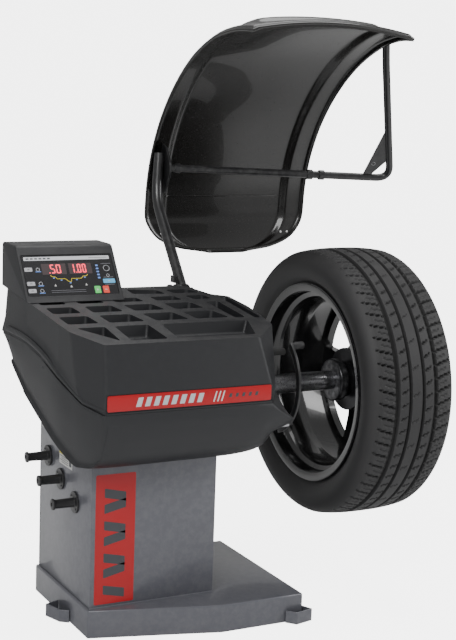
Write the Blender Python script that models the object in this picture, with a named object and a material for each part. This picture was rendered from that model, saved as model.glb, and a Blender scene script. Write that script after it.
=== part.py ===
"""Wheel balancer: pressed-steel base, sheet column, plastic head with weight tray, display console,
motor-driven spindle carrying a mounted wheel, swing-over guard and pull-out rim gauge.

Machine coordinates run from the base's front left floor corner: X to the right along the spindle,
Y to the back, Z up, in metres. ROW_ORIGIN moves them so that the row's origin is the middle of the
whole object on the floor.
"""

from math import cos, pi, radians, sin

import bmesh
import bpy
from mathutils import Matrix, Vector

ROW_ORIGIN = Vector((0.51966, 0.27975, 0.0))
GAP = 0.0003  # left between parts that touch
PAST = 0.020  # how far a cutter runs past the surface it cuts

# Base
BASE_HEIGHT = 0.068
BASE_SHEET = 0.004
BASE_PLAN = ((0.0, 0.0), (0.313, -0.086), (0.530, -0.086), (0.530, 0.355), (0.0, 0.355))
FOOT_HEIGHT = 0.031
FOOT_STRAP = 0.004
FOOT_PATHS = {
    "foot_left": ((-GAP, 0.112), (-0.019, 0.126), (-0.034, 0.172), (-GAP, 0.186)),
    "foot_front": ((0.530 + GAP, -0.066), (0.544, -0.097), (0.502, -0.107), (0.484, -0.086 - GAP)),
    "foot_rear": ((0.220, 0.355 + GAP), (0.232, 0.377), (0.278, 0.377), (0.290, 0.355 + GAP)),
}

# Column
COLUMN_X = (0.007, 0.329)
COLUMN_Y = (0.008, 0.345)
COLUMN_BOTTOM = BASE_HEIGHT + GAP
COLUMN_TOP = 0.598
COLUMN_SHEET = 0.003
COVER_THICK = 0.004
HEAD_PLATE_THICK = 0.005
SHELF_Z = 0.222
SHELF_THICK = 0.004
SHELF_LEFT = 0.0703
VENT_ROWS = 6
VENT_FOOT = 0.300
VENT_PITCH = 0.018
VENT_HEIGHT = 0.006
VENT_X = (0.100, 0.236)
INLET_X = (0.1185, 0.2045)
INLET_Z = (0.137, 0.163)

# Spindle line
SHAFT_Y = 0.179
SHAFT_Z = 0.533
SHAFT_RADIUS = 0.025
STUB_RADIUS = 0.018
HOUSING_RADIUS = 0.050
HOUSING_BORE = 0.0313
HOUSING_X = (0.096, 0.409)
SHAFT_LEFT = 0.044
STUB_START = 0.7445
BEARING_WIDTH = 0.016
FLANGE_FACE = 0.811
STUB_END = 0.965
PULLEY_X = (0.052, 0.072)
SPINDLE_PULLEY_RADIUS = 0.055
MOTOR_PULLEY_RADIUS = 0.020
MOTOR_RADIUS = 0.062
MOTOR_Z = SHELF_Z + SHELF_THICK + MOTOR_RADIUS + GAP
BELT_THICK = 0.003
ENCODER_SLOTS = 8

# Wheel, a 19 inch rim with its tyre
RIM_MIDDLE = 0.780
RIM_HALF = 0.112
RIM_FLANGE_RADIUS = 0.2588
BEAD_RADIUS = 0.2413
TYRE_RADIUS = 0.3465
SPOKES = 5
WHEEL_STEPS = 40
BOLT_CIRCLE = 0.057  # radius through the hole centres
BOLT_HOLE = 0.008
VALVE_ANGLE = 108  # degrees round from the back, in the middle of a window

# Head
TRAY_HEIGHT = 0.727  # of the tray's top on the line y = 0
TRAY_SLOPE = 0.1
POCKET_DEPTH = 0.030
TRAY_SLAB = 0.036
TRAY_FOOT = 0.50  # the tray's block starts here and is cut off at the joint
SEAM_KNOTS = (  # joint between the tray and the lower casing: y, height
    (-0.1130, 0.5585), (-0.0375, 0.5700), (0.0700, 0.6110), (0.1580, 0.6405), (0.2800, 0.6580), (0.6, 0.6580),
)
HEAD_RINGS = (  # plan points of the tray's top, of the ridge with its height, and of the seam
    ((-0.017, -0.108), (-0.013, -0.1130), 0.606, (-0.013, -0.1130)),
    ((0.368, -0.112), (0.404, -0.1130), 0.604, (0.408, -0.1130)),
    ((0.453, -0.016), (0.456, -0.036), 0.612, (0.458, -0.0375)),
    ((0.468, 0.070), (0.471, 0.070), 0.630, (0.477, 0.070)),
    ((0.479, 0.158), (0.482, 0.158), 0.655, (0.486, 0.158)),
    ((0.477, 0.262), (0.480, 0.264), 0.680, (0.484, 0.280)),
    ((0.441, 0.288), (0.444, 0.290), 0.680, (0.447, 0.292)),
    ((0.416, 0.368), (0.419, 0.370), 0.680, (0.421, 0.372)),
    ((0.388, 0.386), (0.390, 0.389), 0.680, (0.392, 0.391)),
    ((0.205, 0.387), (0.207, 0.390), 0.680, (0.208, 0.392)),
    ((0.192, 0.452), (0.193, 0.454), 0.680, (0.194, 0.456)),
    ((-0.050, 0.452), (-0.055, 0.454), 0.695, (-0.063, 0.456)),
    ((-0.055, 0.280), (-0.055, 0.280), 0.697, (-0.065, 0.280)),
    ((-0.055, 0.158), (-0.055, 0.158), 0.676, (-0.064, 0.158)),
    ((-0.055, 0.070), (-0.055, 0.070), 0.645, (-0.060, 0.070)),
    ((-0.054, 0.007), (-0.045, -0.012), 0.606, (-0.040, -0.0375)),
)
CASING_STATIONS = (  # y, left, right, bottom height, how far the right side bulges
    (-0.1130, -0.013, 0.408, 0.5300, 0.006),
    (-0.1080, -0.018, 0.413, 0.4900, 0.030),
    (-0.0950, -0.023, 0.422, 0.4520, 0.050),
    (-0.0700, -0.031, 0.438, 0.4300, 0.050),
    (-0.0375, -0.040, 0.458, 0.4220, 0.036),
    (0.0000, -0.048, 0.466, 0.4200, 0.028),
    (0.0700, -0.060, 0.477, 0.4480, 0.017),
    (0.1580, -0.064, 0.486, 0.4830, 0.008),
    (0.2800, -0.065, 0.484, 0.5300, 0.006),
    (0.2920, -0.065, 0.447, 0.5360, 0.004),
    (0.3720, -0.065, 0.421, 0.5800, 0.003),
    (0.3900, -0.064, 0.392, 0.5920, 0.002),
    (0.3930, -0.064, 0.208, 0.5950, 0.002),
    (0.4400, -0.063, 0.196, 0.6430, 0.000),
)
POCKET_EDGES_FRONT = (-0.034, 0.040, 0.068, 0.153, 0.183, 0.266, 0.289, 0.373)  # at y 0.098, left to right
POCKET_EDGES_REAR = (-0.035, 0.029, 0.062, 0.127, 0.158, 0.231, 0.268, 0.336)  # the same at y 0.263
POCKET_ROWS = ((0.067, 0.133), (0.161, 0.217), (0.245, 0.283))
ODD_POCKETS = (  # plan outlines of the pockets that stand outside the rows
    ((-0.028, 0.035), (0.033, -0.082), (0.043, 0.035)),
    ((0.058, -0.082), (0.148, -0.084), (0.152, 0.037), (0.066, 0.036)),
    ((0.172, -0.084), (0.371, -0.086), (0.413, 0.034), (0.183, 0.037)),
    ((0.393, 0.060), (0.421, 0.060), (0.424, 0.217), (0.390, 0.217)),
    ((0.372, 0.245), (0.421, 0.245), (0.414, 0.283), (0.362, 0.283)),
    ((0.348, 0.309), (0.418, 0.309), (0.399, 0.347), (0.338, 0.347)),
    ((0.236, 0.317), (0.324, 0.309), (0.313, 0.347), (0.237, 0.366)),
    ((0.443, 0.050), (0.460, 0.054), (0.468, 0.258), (0.449, 0.262)),
)
CONSOLE_X = (-0.0635, 0.1905)
CONSOLE_PROFILE = (  # y, height
    (0.262, 0.7540), (0.270, 0.7640), (0.352, 0.8800), (0.362, 0.8830), (0.446, 0.8830), (0.452, 0.8770),
    (0.452, 0.7728),
)
CONSOLE_HOLLOW = ((0.276, 0.745), (0.276, 0.7640), (0.3560, 0.8780), (0.447, 0.8780), (0.447, 0.745))
BRACKET_X = (0.400, 0.408)
FACE_FOOT = Vector((0.0, 0.272, 0.765))
FACE_UP = Vector((0.0, 0.574, 0.8189))
FACE_OUT = Vector((0.0, -0.8189, 0.574))
PANEL_X = (-0.0555, 0.180)
PANEL_V = (0.0045, 0.1150)
PANEL_THICK = 0.003
KEY_TRAVEL = 0.001
KEYS = {  # left, right, bottom, top on the display face
    "key_mode": (-0.0525, -0.0325, 0.0715, 0.0825),
    "key_unit": (-0.0525, -0.0325, 0.0330, 0.0440),
    "key_width": (-0.0525, -0.0325, 0.0135, 0.0245),
    "key_function": (0.1450, 0.1765, 0.0340, 0.0460),
    "key_start": (0.1180, 0.1340, 0.0070, 0.0270),
    "key_stop": (0.1400, 0.1560, 0.0070, 0.0270),
}

# Pegs for cones on the column's left side: (y, z)
PEGS = {"peg_upper": (0.288, 0.369), "peg_middle": (0.202, 0.332), "peg_lower": (0.106, 0.300)}

# Guard, drawn open
GUARD_PIVOT = (0.455, 0.737)
GUARD_X = (0.462, 0.945)
GUARD_SHEET = 0.005
GUARD_ARM_X = 0.443
GUARD_ARM_RADIUS = 0.0145
GUARD_TUBE_RADIUS = 0.0105
GUARD_ARC = (  # back surface from foot to top: y, z, wall depth, share of the width
    (0.716, 0.806, 0.030, 0.30),
    (0.721, 0.822, 0.042, 0.56),
    (0.725, 0.850, 0.060, 0.82),
    (0.727, 0.890, 0.078, 0.96),
    (0.727, 0.930, 0.090, 1.0),
    (0.717, 1.020, 0.100, 1.0),
    (0.688, 1.112, 0.104, 1.0),
    (0.633, 1.210, 0.106, 1.0),
    (0.552, 1.303, 0.104, 1.0),
    (0.450, 1.382, 0.096, 1.0),
    (0.335, 1.437, 0.080, 0.99),
    (0.231, 1.462, 0.056, 0.96),
    (0.145, 1.467, 0.030, 0.92),
)
GUARD_TUBE_PATH = (
    (0.475, 0.627, 1.056),
    (1.106, 0.486, 1.040),
    (0.962, 0.322, 1.375),
)

# Gauge
GAUGE_Y = -0.030
GAUGE_Z = 0.482
GAUGE_ARM_X = (0.500, 0.506)
GAUGE_ARC_CENTRE = (0.057, 0.575)
GAUGE_ARC_RADIUS = 0.124


# ---------------------------------------------------------------- materials
def make_material(name, colour, roughness, metallic=0.0):
    material = bpy.data.materials.new(name)
    material.use_nodes = True
    shader = material.node_tree.nodes["Principled BSDF"]
    shader.inputs["Base Color"].default_value = (*colour, 1.0)
    shader.inputs["Roughness"].default_value = roughness
    shader.inputs["Metallic"].default_value = metallic
    return material


def make_materials():
    return {
        "slate_paint": make_material("slate_paint", (0.085, 0.090, 0.105), 0.35, 0.2),
        "dark_plastic": make_material("dark_plastic", (0.020, 0.021, 0.023), 0.55),
        "black_plastic": make_material("black_plastic", (0.008, 0.008, 0.009), 0.35),
        "black_paint": make_material("black_paint", (0.010, 0.010, 0.011), 0.30, 0.2),
        "red_film": make_material("red_film", (0.80, 0.03, 0.035), 0.35),
        "screen": make_material("screen", (0.012, 0.012, 0.014), 0.15),
        "silver_key": make_material("silver_key", (0.55, 0.55, 0.57), 0.40),
        "blue_key": make_material("blue_key", (0.15, 0.50, 0.80), 0.40),
        "green_key": make_material("green_key", (0.10, 0.60, 0.15), 0.40),
        "red_key": make_material("red_key", (0.85, 0.08, 0.05), 0.40),
        "steel": make_material("steel", (0.52, 0.52, 0.54), 0.30, 1.0),
        "black_steel": make_material("black_steel", (0.030, 0.030, 0.032), 0.30, 0.8),
        "cast_iron": make_material("cast_iron", (0.10, 0.10, 0.11), 0.60, 0.7),
        "aluminium": make_material("aluminium", (0.70, 0.71, 0.73), 0.35, 1.0),
        "rim_paint": make_material("rim_paint", (0.012, 0.012, 0.013), 0.25, 0.3),
        "tyre_rubber": make_material("tyre_rubber", (0.022, 0.022, 0.023), 0.75),
        "rubber": make_material("rubber", (0.015, 0.015, 0.015), 0.80),
        "circuit_board": make_material("circuit_board", (0.02, 0.18, 0.08), 0.50),
        "ceramic": make_material("ceramic", (0.75, 0.72, 0.65), 0.45),
    }


# ---------------------------------------------------------------- shapes
def finish(name, mesh, material, pivot=(0.0, 0.0, 0.0), helper=False):
    """Object of a bmesh drawn in machine coordinates, with its origin on pivot."""
    bmesh.ops.remove_doubles(mesh, verts=mesh.verts, dist=1e-6)
    bmesh.ops.recalc_face_normals(mesh, faces=mesh.faces)
    pivot = Vector(pivot)
    bmesh.ops.translate(mesh, verts=mesh.verts, vec=-pivot)
    data = bpy.data.meshes.new(name)
    mesh.to_mesh(data)
    mesh.free()
    item = bpy.data.objects.new(name, data)
    item.location = pivot - ROW_ORIGIN
    bpy.context.scene.collection.objects.link(item)
    if material:
        data.materials.append(material)
    if helper:
        item.hide_render = True
        item.display_type = "WIRE"
    return item


def cut(item, mesh, label):
    """Boolean difference of a helper mesh from item."""
    cutter = finish(f"{item.name}.{label}", mesh, None, helper=True)
    modifier = item.modifiers.new(label, "BOOLEAN")
    modifier.operation = "DIFFERENCE"
    modifier.solver = "EXACT"
    modifier.object = cutter


def bevel(item, width, segments=2, angle=35):
    modifier = item.modifiers.new("edges", "BEVEL")
    modifier.width = width
    modifier.segments = segments
    modifier.limit_method = "ANGLE"
    modifier.angle_limit = radians(angle)
    modifier.harden_normals = False


def smooth(item, angle=35):
    item.data.shade_smooth()
    item.data.set_sharp_from_angle(angle=radians(angle))


def add_loft(mesh, rings):
    """Closed body through rings of equal point count."""
    layers = [[mesh.verts.new(point) for point in ring] for ring in rings]
    count = len(layers[0])
    for lower, upper in zip(layers, layers[1:]):
        for i in range(count):
            j = (i + 1) % count
            mesh.faces.new((lower[i], lower[j], upper[j], upper[i]))
    mesh.faces.new(layers[0][::-1])
    mesh.faces.new(layers[-1])


def loft(rings):
    mesh = bmesh.new()
    add_loft(mesh, rings)
    return mesh


def add_box(mesh, low, high):
    x0, y0, z0 = low
    x1, y1, z1 = high
    corners = ((x0, y0), (x1, y0), (x1, y1), (x0, y1))
    add_loft(mesh, [[(x, y, z) for x, y in corners] for z in (z0, z1)])


def box(low, high):
    mesh = bmesh.new()
    add_box(mesh, low, high)
    return mesh


def prism_z(plan, z0, z1):
    return loft([[(x, y, z) for x, y in plan] for z in (z0, z1)])


def prism_x(profile, x0, x1):
    return loft([[(x, y, z) for y, z in profile] for x in (x0, x1)])


def revolve_x(profile, steps, y=SHAFT_Y, z=SHAFT_Z):
    """Body turned about the line along X through y, z. Profile is closed, as (x, radius)."""
    mesh = bmesh.new()
    verts = [mesh.verts.new((x, y, z + radius)) for x, radius in profile]
    edges = [mesh.edges.new((a, b)) for a, b in zip(verts, verts[1:] + verts[:1])]
    bmesh.ops.spin(
        mesh, geom=edges, cent=(0.0, y, z), axis=(1, 0, 0), angle=2 * pi, steps=steps, use_merge=True
    )
    bmesh.ops.remove_doubles(mesh, verts=mesh.verts, dist=1e-6)
    bmesh.ops.dissolve_degenerate(mesh, edges=mesh.edges, dist=1e-6)
    loose = [edge for edge in mesh.edges if not edge.link_faces]
    bmesh.ops.delete(mesh, geom=loose, context="EDGES")
    return mesh


def on_circle(y, z, radius, angle):
    """Point as (y, z) on a circle round a line along X."""
    return (y + radius * cos(angle), z + radius * sin(angle))


def disc_x(x0, x1, radius, steps, y=SHAFT_Y, z=SHAFT_Z):
    ring = [on_circle(y, z, radius, 2 * pi * i / steps) for i in range(steps)]
    return prism_x(ring, x0, x1)


def sweep(path, radius, steps):
    """Round bar along a path of points."""
    path = [Vector(point) for point in path]
    rings = []
    side = None
    for i, point in enumerate(path):
        before = path[max(i - 1, 0)]
        after = path[min(i + 1, len(path) - 1)]
        ahead = (after - before).normalized()
        if side is None:
            side = ahead.orthogonal().normalized()
        side = (side - ahead * side.dot(ahead)).normalized()
        other = ahead.cross(side)
        angles = [2 * pi * k / steps for k in range(steps)]
        rings.append([point + radius * (side * cos(a) + other * sin(a)) for a in angles])
    return loft(rings)


def rounded_path(points, radius, steps):
    """Polyline with each inner corner replaced by an arc-like curve."""
    points = [Vector(point) for point in points]
    path = [points[0]]
    for before, corner, after in zip(points, points[1:], points[2:]):
        start = corner + (before - corner).normalized() * radius
        end = corner + (after - corner).normalized() * radius
        for i in range(steps + 1):
            t = i / steps
            path.append(start * (1 - t) ** 2 + corner * 2 * t * (1 - t) + end * t**2)
    path.append(points[-1])
    return path


def strap(points, thick, z0, z1):
    """Flat bar on edge, bent along a plan path."""
    points = [Vector((x, y, 0.0)) for x, y in points]
    inner = []
    for i, point in enumerate(points):
        before = points[max(i - 1, 0)]
        after = points[min(i + 1, len(points) - 1)]
        first = (point - before).normalized() if i else (after - point).normalized()
        second = (after - point).normalized() if i < len(points) - 1 else first
        normal = Vector((-(first + second).y, (first + second).x, 0.0)).normalized()
        lift = thick / max(normal.dot(Vector((-first.y, first.x, 0.0))), 0.3)
        inner.append(point + normal * lift)
    plan = [(p.x, p.y) for p in points] + [(p.x, p.y) for p in reversed(inner)]
    return prism_z(plan, z0, z1)


def on_face(x, v, out):
    """Point on the tilted display face: x across, v up the slope, out from it."""
    return FACE_FOOT + FACE_UP * v + FACE_OUT * out + Vector((x, 0.0, 0.0))


def face_block(x0, x1, v0, v1, out0, out1):
    corners = ((x0, v0), (x1, v0), (x1, v1), (x0, v1))
    return [[on_face(x, v, out) for x, v in corners] for out in (out0, out1)]


# ---------------------------------------------------------------- base and column
def build_base(mats):
    below = 0.010  # the rounded block starts this far under the floor and is cut off level with it
    tray = finish("base_tray", prism_z(BASE_PLAN, -below, BASE_HEIGHT), mats["slate_paint"])
    bevel(tray, 0.004)
    middle = Vector((0.28, 0.13))
    inner = []
    for x, y in BASE_PLAN:
        inset_x = BASE_SHEET if x < middle.x else -BASE_SHEET
        inset_y = BASE_SHEET if y < middle.y else -BASE_SHEET
        inner.append((x + inset_x, y + inset_y))
    cut(tray, prism_z(inner, -2 * below, BASE_HEIGHT - BASE_SHEET), "inside")
    cut(tray, box((-0.1, -0.2, -2 * below), (0.7, 0.5, 0.0)), "floor_level")
    for name, path in FOOT_PATHS.items():
        finish(name, strap(path, FOOT_STRAP, 0.0, FOOT_HEIGHT), mats["slate_paint"])


def build_column(mats):
    (x0, x1), (y0, y1) = COLUMN_X, COLUMN_Y
    sheet = COLUMN_SHEET
    shell = finish("column_shell", box((x0, y0, COLUMN_BOTTOM), (x1, y1, COLUMN_TOP)), mats["slate_paint"])
    bevel(shell, 0.002)
    low = (x0 + sheet, y0 + sheet, COLUMN_BOTTOM + sheet)
    high = (x1 - sheet, y1 + PAST, COLUMN_TOP + PAST)
    cut(shell, box(low, high), "inside")
    cut(shell, disc_x(x1 - PAST, x1 + PAST, HOUSING_RADIUS + 0.003, 32), "spindle_hole")


def build_rear_cover(mats):
    (x0, x1), y1 = COLUMN_X, COLUMN_Y[1]
    front = y1 + GAP
    sheet = box((x0, front, COLUMN_BOTTOM), (x1, front + COVER_THICK, COLUMN_TOP))
    cover = finish("rear_cover", sheet, mats["slate_paint"])
    vents = bmesh.new()
    for row in range(VENT_ROWS):
        z = VENT_FOOT + row * VENT_PITCH
        add_box(vents, (VENT_X[0], front - PAST, z), (VENT_X[1], front + PAST, z + VENT_HEIGHT))
    cut(cover, vents, "vents")
    (left, right), (low, high) = INLET_X, INLET_Z
    clear = 0.0005
    hole = box((left - clear, front - PAST, low - clear), (right + clear, front + PAST, high + clear))
    cut(cover, hole, "inlet_hole")


def build_head_plate(mats):
    z = COLUMN_TOP + GAP
    plan = ((0.000, 0.002), (0.336, 0.002), (0.336, 0.330), (0.336, 0.358), (0.000, 0.358))
    finish("head_plate", prism_z(plan, z, z + HEAD_PLATE_THICK), mats["black_paint"])


def build_shelf(mats):
    x0, x1 = SHELF_LEFT, COLUMN_X[1] - COLUMN_SHEET - GAP
    y0, y1 = COLUMN_Y[0] + COLUMN_SHEET + GAP, COLUMN_Y[1] - 0.002
    shelf = finish("motor_shelf", box((x0, y0, SHELF_Z), (x1, y1, SHELF_Z + SHELF_THICK)), mats["steel"])
    bevel(shelf, 0.0008, 1)


def build_pegs(mats):
    side = COLUMN_X[0] - GAP
    profile = (
        (side, 0.0), (side, 0.026), (side - 0.003, 0.0255), (side - 0.0045, 0.012), (side - 0.050, 0.0105),
        (side - 0.053, 0.013), (side - 0.0575, 0.0135), (side - 0.060, 0.0115), (side - 0.060, 0.0),
    )
    for name, (y, z) in PEGS.items():
        smooth(finish(name, revolve_x(profile, 20, y, z), mats["black_plastic"]))


# ---------------------------------------------------------------- spindle and drive
def build_housing(mats):
    x_wall = COLUMN_X[1] + GAP
    bore, radius = HOUSING_BORE, HOUSING_RADIUS
    left, right = HOUSING_X
    chamfer, flange, flange_thick = 0.004, 0.062, 0.010
    profile = (
        (left, bore), (left, radius - chamfer), (left + chamfer, radius), (x_wall, radius), (x_wall, flange),
        (x_wall + flange_thick, flange), (x_wall + flange_thick + 0.002, radius), (right - chamfer, radius),
        (right, radius - chamfer), (right, bore),
    )
    smooth(finish("spindle_housing", revolve_x(profile, 28), mats["cast_iron"]))
    outer, inner = bore - GAP, SHAFT_RADIUS + GAP
    for name, x in (("bearing_inner", left + 0.001), ("bearing_outer", right - 0.001 - BEARING_WIDTH)):
        ring = (
            (x, inner), (x, outer - 0.0005), (x + 0.0005, outer), (x + BEARING_WIDTH - 0.0005, outer),
            (x + BEARING_WIDTH, outer - 0.0005), (x + BEARING_WIDTH, inner),
        )
        smooth(finish(name, revolve_x(ring, 24), mats["steel"]))


def build_spindle(mats):
    left, step, chamfer = SHAFT_LEFT, STUB_START, 0.002
    shaft = (
        (left, 0.0), (left, SHAFT_RADIUS - chamfer), (left + chamfer, SHAFT_RADIUS), (step, SHAFT_RADIUS),
        (step, STUB_RADIUS), (STUB_END - chamfer, STUB_RADIUS), (STUB_END, STUB_RADIUS - chamfer),
        (STUB_END, 0.0),
    )
    smooth(finish("spindle_shaft", revolve_x(shaft, 24), mats["steel"]))
    bore, face = STUB_RADIUS + GAP, FLANGE_FACE
    flange = (
        (0.7448, bore), (0.7448, 0.052), (0.748, 0.0555), (0.768, 0.0555), (0.773, 0.0450),
        (0.787, 0.0450), (0.789, 0.082), (face - 0.002, 0.082), (face, 0.080), (face, 0.047),
        (0.7775, 0.041), (0.7775, bore),
    )
    smooth(finish("spindle_flange", revolve_x(flange, 28), mats["black_steel"]))
    x0, x1 = PULLEY_X
    radius = SPINDLE_PULLEY_RADIUS
    pulley = (
        (x0, SHAFT_RADIUS + GAP), (x0, radius + 0.004), (x0 + 0.001, radius + 0.004), (x0 + 0.001, radius),
        (x1 - 0.001, radius), (x1 - 0.001, radius + 0.004), (x1, radius + 0.004), (x1, SHAFT_RADIUS + GAP),
    )
    smooth(finish("spindle_pulley", revolve_x(pulley, 28), mats["aluminium"]))


def build_encoder(mats):
    disc = ((0.0820, SHAFT_RADIUS + GAP), (0.0820, 0.062), (0.0835, 0.062), (0.0835, SHAFT_RADIUS + GAP))
    encoder = finish("encoder_disc", revolve_x(disc, 32), mats["steel"])
    slots = bmesh.new()
    for i in range(ENCODER_SLOTS):
        turn = Matrix.Rotation(2 * pi * (i + 0.1) / ENCODER_SLOTS, 4, "X")
        slot = ((-0.002, 0.052), (0.002, 0.052), (0.002, 0.070), (-0.002, 0.070))
        corners = [turn @ Vector((0, a, b)) for a, b in slot]
        add_loft(slots, [[(x, SHAFT_Y + c.y, SHAFT_Z + c.z) for c in corners] for x in (0.08, 0.086)])
    cut(encoder, slots, "slots")
    y = SHAFT_Y
    block = box((0.0765, y - 0.009, 0.583), (0.0895, y + 0.009, COLUMN_TOP))
    reader = finish("encoder_reader", block, mats["black_plastic"])
    cut(reader, box((0.0805, y - 0.02, 0.570), (0.0855, y + 0.02, 0.5965)), "gap")


def build_motor(mats):
    y, z = SHAFT_Y, MOTOR_Z
    radius = MOTOR_RADIUS
    body = (
        (0.098, 0.010), (0.098, 0.030), (0.104, 0.032), (0.105, radius - 0.004), (0.109, radius),
        (0.236, radius), (0.240, radius - 0.004), (0.241, 0.045), (0.262, 0.043), (0.264, 0.0),
        (0.130, 0.0), (0.130, 0.010),
    )
    smooth(finish("motor_body", revolve_x(body, 24, y, z), mats["cast_iron"]))
    x0, x1 = PULLEY_X
    pulley = (
        (x0, 0.0), (x0, 0.024), (x0 + 0.001, 0.024), (x0 + 0.001, MOTOR_PULLEY_RADIUS),
        (x1 - 0.001, MOTOR_PULLEY_RADIUS), (x1 - 0.001, 0.024), (x1, 0.024), (x1, 0.008),
        (0.128, 0.008), (0.128, 0.0),
    )
    smooth(finish("motor_pulley", revolve_x(pulley, 16, y, z), mats["steel"], (PULLEY_X[0], y, z)))


def build_belt(mats):
    span = SHAFT_Z - MOTOR_Z
    lean = (SPINDLE_PULLEY_RADIUS - MOTOR_PULLEY_RADIUS) / span
    x0, x1 = PULLEY_X[0] + 0.0015, PULLEY_X[1] - 0.0015

    def loop(grow):
        points = []
        for centre, radius, start, end in (
            (SHAFT_Z, SPINDLE_PULLEY_RADIUS, -lean, pi + lean),
            (MOTOR_Z, MOTOR_PULLEY_RADIUS, pi + lean, 2 * pi - lean),
        ):
            for i in range(21):
                angle = start + (end - start) * i / 20
                points.append(on_circle(SHAFT_Y, centre, radius + grow, angle))
        return points

    belt = finish("drive_belt", prism_x(loop(GAP + BELT_THICK), x0, x1), mats["rubber"])
    cut(belt, prism_x(loop(2 * GAP), x0 - 0.01, x1 + 0.01), "inside")


def build_sensors(mats):
    front = SHAFT_Y - HOUSING_RADIUS
    z = SHAFT_Z
    back, thick, low, high = front - 0.024, 0.006, z - 0.028, z + 0.0645
    beam = box((0.110, back - thick, low), (0.318, back, high))
    finish("sensor_beam", beam, mats["steel"])
    for name, x in (("piezo_inner", 0.140), ("piezo_outer", 0.285)):
        ring = [on_circle(x, z, 0.013, pi * i / 8) for i in range(16)]
        ends = (back + GAP, front - 0.0022)
        mesh = loft([[(a, y, b) for a, b in ring] for y in ends])
        smooth(finish(name, mesh, mats["ceramic"]))


def build_electrics(mats):
    y0 = COLUMN_Y[0] + COLUMN_SHEET
    board = box((0.110, y0 + 0.008, 0.300), (0.290, y0 + 0.010, 0.440))
    finish("power_board", board, mats["circuit_board"])
    back = COLUMN_Y[1] + GAP + COVER_THICK
    block = box((INLET_X[0], back - 0.030, INLET_Z[0]), (INLET_X[1], back + 0.002, INLET_Z[1]))
    inlet = finish("mains_inlet", block, mats["black_plastic"])
    wells = bmesh.new()
    add_box(wells, (0.1245, back - 0.018, 0.142), (0.1595, back + 0.01, 0.158))
    add_box(wells, (0.1865, back - 0.016, 0.1388), (0.2015, back + 0.01, 0.1612))
    cut(inlet, wells, "wells")
    middle = sum(INLET_Z) / 2
    profile = ((-0.008, -0.0095), (0.0050, -0.0085), (0.0005, 0.0), (0.0010, 0.0085), (-0.008, 0.0095))
    rocker = prism_x([(back + y, middle + z) for y, z in profile], 0.1875, 0.2005)
    finish("mains_rocker", rocker, mats["red_key"], (0.194, back - 0.007, middle))


# ---------------------------------------------------------------- wheel
def tyre_profile():
    """Outer skin of the tyre from its left bead over the tread, then its inner skin back."""
    left_outer = (
        (-0.1010, 0.2420), (-0.1050, 0.2600), (-0.1160, 0.2700), (-0.1245, 0.2950), (-0.1210, 0.3170),
        (-0.1060, 0.3355), (-0.0760, 0.3440), (0.0, TYRE_RADIUS),
    )
    left_inner = (
        (-0.0900, 0.2420), (-0.0930, 0.2640), (-0.1150, 0.2930), (-0.1040, 0.3200), (-0.0700, 0.3330),
    )
    skin = list(left_outer) + [(-x, r) for x, r in reversed(left_outer[:-1])]
    lining = [(-x, r) for x, r in left_inner] + list(reversed(left_inner))
    return [(RIM_MIDDLE + x, r) for x, r in skin + lining]


def rim_profile():
    """Barrel's outer side from left to right, the disc's face, its hub and back, then the barrel's inside."""
    half, flange, bead = RIM_HALF, RIM_FLANGE_RADIUS, BEAD_RADIUS
    pad = FLANGE_FACE + 0.0015 - RIM_MIDDLE
    barrel = (
        (-half, flange - 0.006), (-half + 0.002, flange), (-half + 0.005, flange), (-half + 0.0075, bead),
        (-0.078, bead - 0.0015), (-0.066, 0.2230), (-0.020, 0.2230), (0.010, 0.2340), (0.080, bead - 0.001),
        (half - 0.0075, bead), (half - 0.005, flange), (half - 0.002, flange), (half, flange - 0.006),
    )
    disc = (
        (half - 0.004, 0.2360), (0.100, 0.2350), (0.104, 0.205), (0.096, 0.110), (pad + 0.026, 0.076),
        (pad + 0.026, 0.0335), (pad, 0.0335), (pad, 0.080), (pad + 0.010, 0.086), (0.070, 0.110),
        (0.082, 0.205), (0.082, 0.2345),
    )
    inside = (
        (0.012, 0.2285), (-0.022, 0.2175), (-0.064, 0.2175), (-0.080, 0.2345), (-half + 0.004, 0.2360),
    )
    return [(RIM_MIDDLE + x, r) for x, r in barrel + disc + inside]


def spoke_windows():
    """Cutters for the openings between the spokes."""
    windows = bmesh.new()
    half_spoke, draw_in = radians(11.5), radians(9)
    outer_radius, inner_radius = 0.221, 0.098
    step = 2 * pi / SPOKES
    for i in range(SPOKES):
        start, end = i * step + half_spoke, (i + 1) * step - half_spoke
        outer = [start + (end - start) * k / 5 for k in range(6)]
        near, far = start + draw_in, end - draw_in
        inner = [far + (near - far) * k / 3 for k in range(4)]
        outline = [on_circle(SHAFT_Y, SHAFT_Z, outer_radius, a) for a in outer]
        outline += [on_circle(SHAFT_Y, SHAFT_Z, inner_radius, a) for a in inner]
        add_loft(windows, [[(x, y, z) for y, z in outline] for x in (0.80, 0.90)])
    return windows


def bolt_holes():
    """Cutters for the wheel bolt holes, one behind each window."""
    holes = bmesh.new()
    for i in range(SPOKES):
        a = (i + 0.5) * 2 * pi / SPOKES
        y, z = on_circle(SHAFT_Y, SHAFT_Z, BOLT_CIRCLE, a)
        ring = [on_circle(y, z, BOLT_HOLE, a + pi * (k + 0.5) / 5) for k in range(10)]
        add_loft(holes, [[(x, *point) for point in ring] for x in (0.80, 0.86)])
    return holes


def build_rim(mats):
    rim = finish("rim", revolve_x(rim_profile(), WHEEL_STEPS), mats["rim_paint"])
    smooth(rim, 40)
    cut(rim, spoke_windows(), "windows")
    cut(rim, bolt_holes(), "bolt_holes")


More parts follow.
